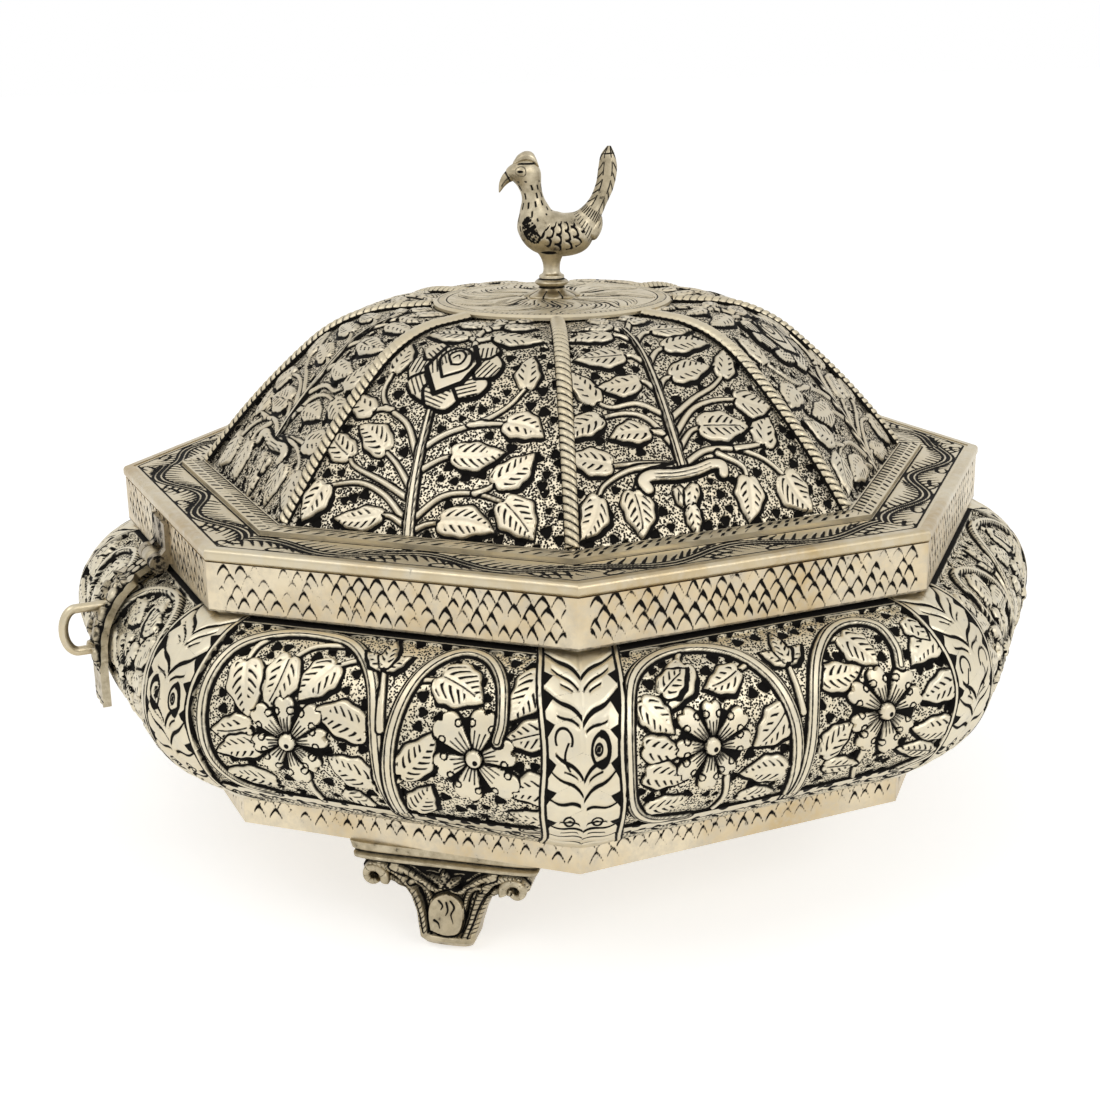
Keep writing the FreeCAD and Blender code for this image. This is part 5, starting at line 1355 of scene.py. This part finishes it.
def drawStrap(u, s):
    # stacked pairs of knobs with a leaf down the middle and black hollows between, then a plain tab
    work = Chasing(u, -s, floor=-0.55)
    for k in range(strapSizes["knobs"]):
        y = -6.2 - strapSizes["knobStep"] * k
        work.leaf(0, y + 2.4, -90, 4.6, 3.2, seed=k * 0.3, high=0.55, strokes=0.9)
        for way in (-1, 1):
            work.bead(way * (3.0 - 0.12 * k), y, 1.5, 0.6, line=0.26)
            work.leaf(way * 1.4, y - 0.4, -90 + way * 34, 3.4, 2.0, seed=k + way, high=0.4, strokes=0.8)
    for y in (-2.0, -3.9):
        work.bead(0.9, y, 0.95, 0.4, line=0.2)
        work.bead(-1.1, y - 0.6, 0.95, 0.4, line=0.2)
    tab = -work.v > 24.2
    work.mark(0.25 - work.ground)
    work.ink = np.where(tab, 3.0, work.ink)
    work.raised = np.where(tab, 0.1 * np.sin(work.u * 2.1) * np.sin(work.v * 1.7), work.raised)
    for line in (24.2, 25.2, 31.2):
        work.mark(np.abs(-work.v - line) - 0.2)
    work.ground[:] = -1
    return work


def castStrap():
    p = strapSizes
    (cx, cz), (px, pz) = p["centre"], p["pin"]
    first = math.atan2(px - cx, pz - cz)
    middle = (p["back"] + p["face"]) / 2
    bend = (math.pi / 2 - first) * middle
    whole = bend + cz - p["low"]
    s = np.linspace(whole, 0.6, p["rows"] + 1)[:, None]
    tongue, broad, tab = p["tongue"], p["half"], p["tab"]
    half = tongue + (broad - tongue) * easing(s, 4.4, 5.6) - (broad - tab) * easing(s, 22.4, 24.2)
    scallop = 0.22 * np.abs(np.sin((s - 4.2) * math.pi / p["knobStep"]))
    half = half + scallop * easing(s, 5, 6) * (1 - easing(s, 22, 23))
    u = np.linspace(-1, 1, p["columns"] + 1)[None, :] * half
    work = drawStrap(u, s + 0 * u)
    raised = work.field("raised") * easing(half - np.abs(u), -0.1, 0.5)
    raised = np.minimum(raised, -0.2 + 1.6 * easing(s, 6.0, 7.6))  # the top turns between the lugs
    turn = first + np.minimum(s, bend) / middle
    drop = np.maximum(s - bend, 0)

    def place(radius):
        level = cz + radius * np.cos(turn) - drop + 0 * u
        return standUp(cx + radius * np.sin(turn) + 0 * u, u + 0 * radius, level, 270)

    mid = cz + middle * np.cos(turn) - drop + 0 * u
    missing = np.zeros((p["rows"], p["columns"]), bool)
    for level, tall in zip(pinHoles["levels"], (1.55, 1.4)):
        far = np.hypot(u / 1.12, (mid - level) / tall)
        missing |= faceMean(far) < 1
        raised = np.minimum(raised, 1.5 * easing(far, 1.3, 2.2))
    piece = Piece()
    slab(piece, place(p["face"] + raised), place(p["back"] + 0 * u), work.field("ink"), work.field("ground"),
         missing)
    # the eye that turns on the lid's pin: a short sleeve, closed round both ways
    a = np.linspace(0, 2 * np.pi, 40, endpoint=False)[None, :]
    bore, eye, soft = p["bore"], p["eye"], 0.2
    sleeve = np.array([(tongue, bore), (tongue, eye - soft), (tongue - soft, eye), (0, eye - 0.08),
                       (soft - tongue, eye), (-tongue, eye - soft), (-tongue, bore)])
    r = sleeve[:, 1:]
    sides = standUp(px + r * np.sin(a), sleeve[:, :1] + 0 * a, pz + r * np.cos(a), 270)
    piece.ring(piece.grid(sides), flip=True)
    piece.build("haspStrap", castSilver, "hasp", ["hasp_strap"])


def bendWire():
    # round wire along a U: two level legs joined by half an ellipse
    p = strapSizes
    low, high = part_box("wire_locking_pin")
    start = axisY - high.y / mm
    (top, under), bend, loop = pinHoles["levels"], p["bend"], p["loop"]
    turn = np.linspace(math.pi / 2, -math.pi / 2, 40)
    leg = np.linspace(start, loop - bend, 12)
    back = np.linspace(loop - bend, start, 12)
    middle, reach = (top + under) / 2, (top - under) / 2
    flat = np.concatenate([leg[:-1], loop - bend + bend * np.cos(turn), back[1:]])
    level = np.concatenate([np.full(11, top), middle + reach * np.sin(turn), np.full(11, under)])
    line = np.stack([flat, level], -1)
    way = np.gradient(line, axis=0)
    way /= np.hypot(way[:, 0], way[:, 1])[:, None]
    a = np.linspace(0, 2 * np.pi, 24, endpoint=False)[None, :]
    r = p["wire"] * (1 + 0 * a)
    piece = Piece()
    tube(piece, standUp(flat[:, None] - way[:, 1:] * r * np.cos(a), r * np.sin(a) + 0 * flat[:, None],
                        level[:, None] + way[:, :1] * r * np.cos(a), 270))
    piece.build("lockingWire", polishedBead, "locking_pin", ["wire_locking_pin"])


castStrap()
bendWire()
print("clasp made")


# Plain parts keep their made shape and get their own metal
plainParts = {"lid_edge_bead": polishedBead, "neck_collar": innerSilver, "floor_plate": innerSilver,
              "hinge_leaf_body": plainSilver, "hinge_leaf_lid": plainSilver, "hinge_pin": plainSilver,
              "hasp_pin": dirtyCast, "hasp_lugs": dirtyCast, "finial_nut": innerSilver,
              "finial_washer": innerSilver}
for thing in [o for o in bpy.data.objects if o.type == "MESH" and o.name in plainParts]:
    for slotIndex in range(len(thing.material_slots)):
        thing.material_slots[slotIndex].material = plainParts[thing.name]


# Floor, light and camera
studio = {"floor": (0.86, 0.86, 0.86), "floorGlow": 0.56, "skyHigh": 0.62, "skyLow": 0.34, "lampSize": 0.6,
          "lampAim": (0, 0, 0.06)}
# how far towards the camera, to its right and up each lamp hangs, in metres, and its power
lamps = {"keyLamp": (0.45, -0.45, 0.75, 1.5), "fillLamp": (0.7, 0.62, 0.42, 1.9)}
floorMesh = bpy.data.meshes.new("studioFloor")
floorMesh.from_pydata([(-6, -6, 0), (6, -6, 0), (6, 6, 0), (-6, 6, 0)], [], [(0, 1, 2, 3)])
floorMaterial = bpy.data.materials.new("paleFloor")
floorMaterial.use_nodes = True
add = nodeMaker(floorMaterial)
seen = add("ShaderNodeLightPath")
shown = add("ShaderNodeMath", {0: seen.outputs["Is Camera Ray"], 1: seen.outputs["Is Glossy Ray"]},
            operation="MAXIMUM")
glow = add("ShaderNodeMath", {0: shown.outputs[0], 1: studio["floorGlow"]}, operation="MULTIPLY")
matte = add("ShaderNodeBsdfDiffuse", {"Color": (*studio["floor"], 1)})
lift = add("ShaderNodeEmission", {"Color": (1, 1, 1, 1), "Strength": glow.outputs[0]})
both = add("ShaderNodeAddShader", {0: matte.outputs[0], 1: lift.outputs[0]})
add("ShaderNodeOutputMaterial", {"Surface": both.outputs[0]})
floorMesh.materials.append(floorMaterial)
addThing("studioFloor", floorMesh)

world = bpy.data.worlds.new("studioWorld")
bpy.context.scene.world = world
world.use_nodes = True
add = nodeMaker(world)
aim = add("ShaderNodeSeparateXYZ", {0: add("ShaderNodeTexCoord").outputs["Generated"]})
sky = add("ShaderNodeMapRange", {"Value": aim.outputs["Z"], "From Min": -0.1, "From Max": 0.9,
                                 "To Min": studio["skyLow"], "To Max": studio["skyHigh"]})
seen = add("ShaderNodeLightPath")
shown = add("ShaderNodeMath", {0: seen.outputs["Is Camera Ray"], 1: seen.outputs["Is Glossy Ray"]},
            operation="MAXIMUM")
shown = add("ShaderNodeMath", {0: shown.outputs[0], 1: seen.outputs["Is Transmission Ray"]},
            operation="MAXIMUM")
power = add("ShaderNodeMix", {"Factor": shown.outputs[0], "A": sky.outputs[0], "B": 1.0}, data_type="FLOAT")
air = add("ShaderNodeBackground", {"Color": (1, 1, 1, 1), "Strength": power.outputs["Result"]})
add("ShaderNodeOutputWorld", {"Surface": air.outputs[0]})

view = {"target": (0.0, axisY * mm, 0.0522), "distance": 0.3652, "azimuth": 65.3, "elevation": 16.6,
        "roll": -0.9, "lens": 55.8, "film": 36.0, "shift": -6 / 1100}
turn, tip = math.radians(view["azimuth"]), math.radians(view["elevation"])
backward = Vector((math.sin(turn) * math.cos(tip), -math.cos(turn) * math.cos(tip), math.sin(tip)))
rightward = Vector((math.cos(turn), math.sin(turn), 0))
upward = backward.cross(rightward)
for name, (near, right, high, power) in lamps.items():
    lamp = bpy.data.lights.new(name, "AREA")
    lamp.shape, lamp.size, lamp.energy = "DISK", studio["lampSize"], power
    thing = addThing(name, lamp)
    place = backward * near + rightward * right + Vector((0, 0, high))
    thing.location = place
    thing.rotation_euler = (Vector(studio["lampAim"]) - place).to_track_quat("-Z", "Y").to_euler()
c, s = facing(view["roll"])
rightward, upward = rightward * c + upward * s, upward * c - rightward * s
camera = bpy.data.cameras.new("camera")
camera.lens, camera.sensor_width, camera.shift_x = view["lens"], view["film"], view["shift"]
cameraThing = addThing("camera", camera)
place = Vector(view["target"]) + backward * view["distance"]
axes = Matrix((rightward, upward, backward)).transposed().to_4x4()
cameraThing.matrix_world = Matrix.Translation(place) @ axes
bpy.context.scene.camera = cameraThing
bpy.context.scene.view_settings.view_transform = "Standard"
print("studio ready")
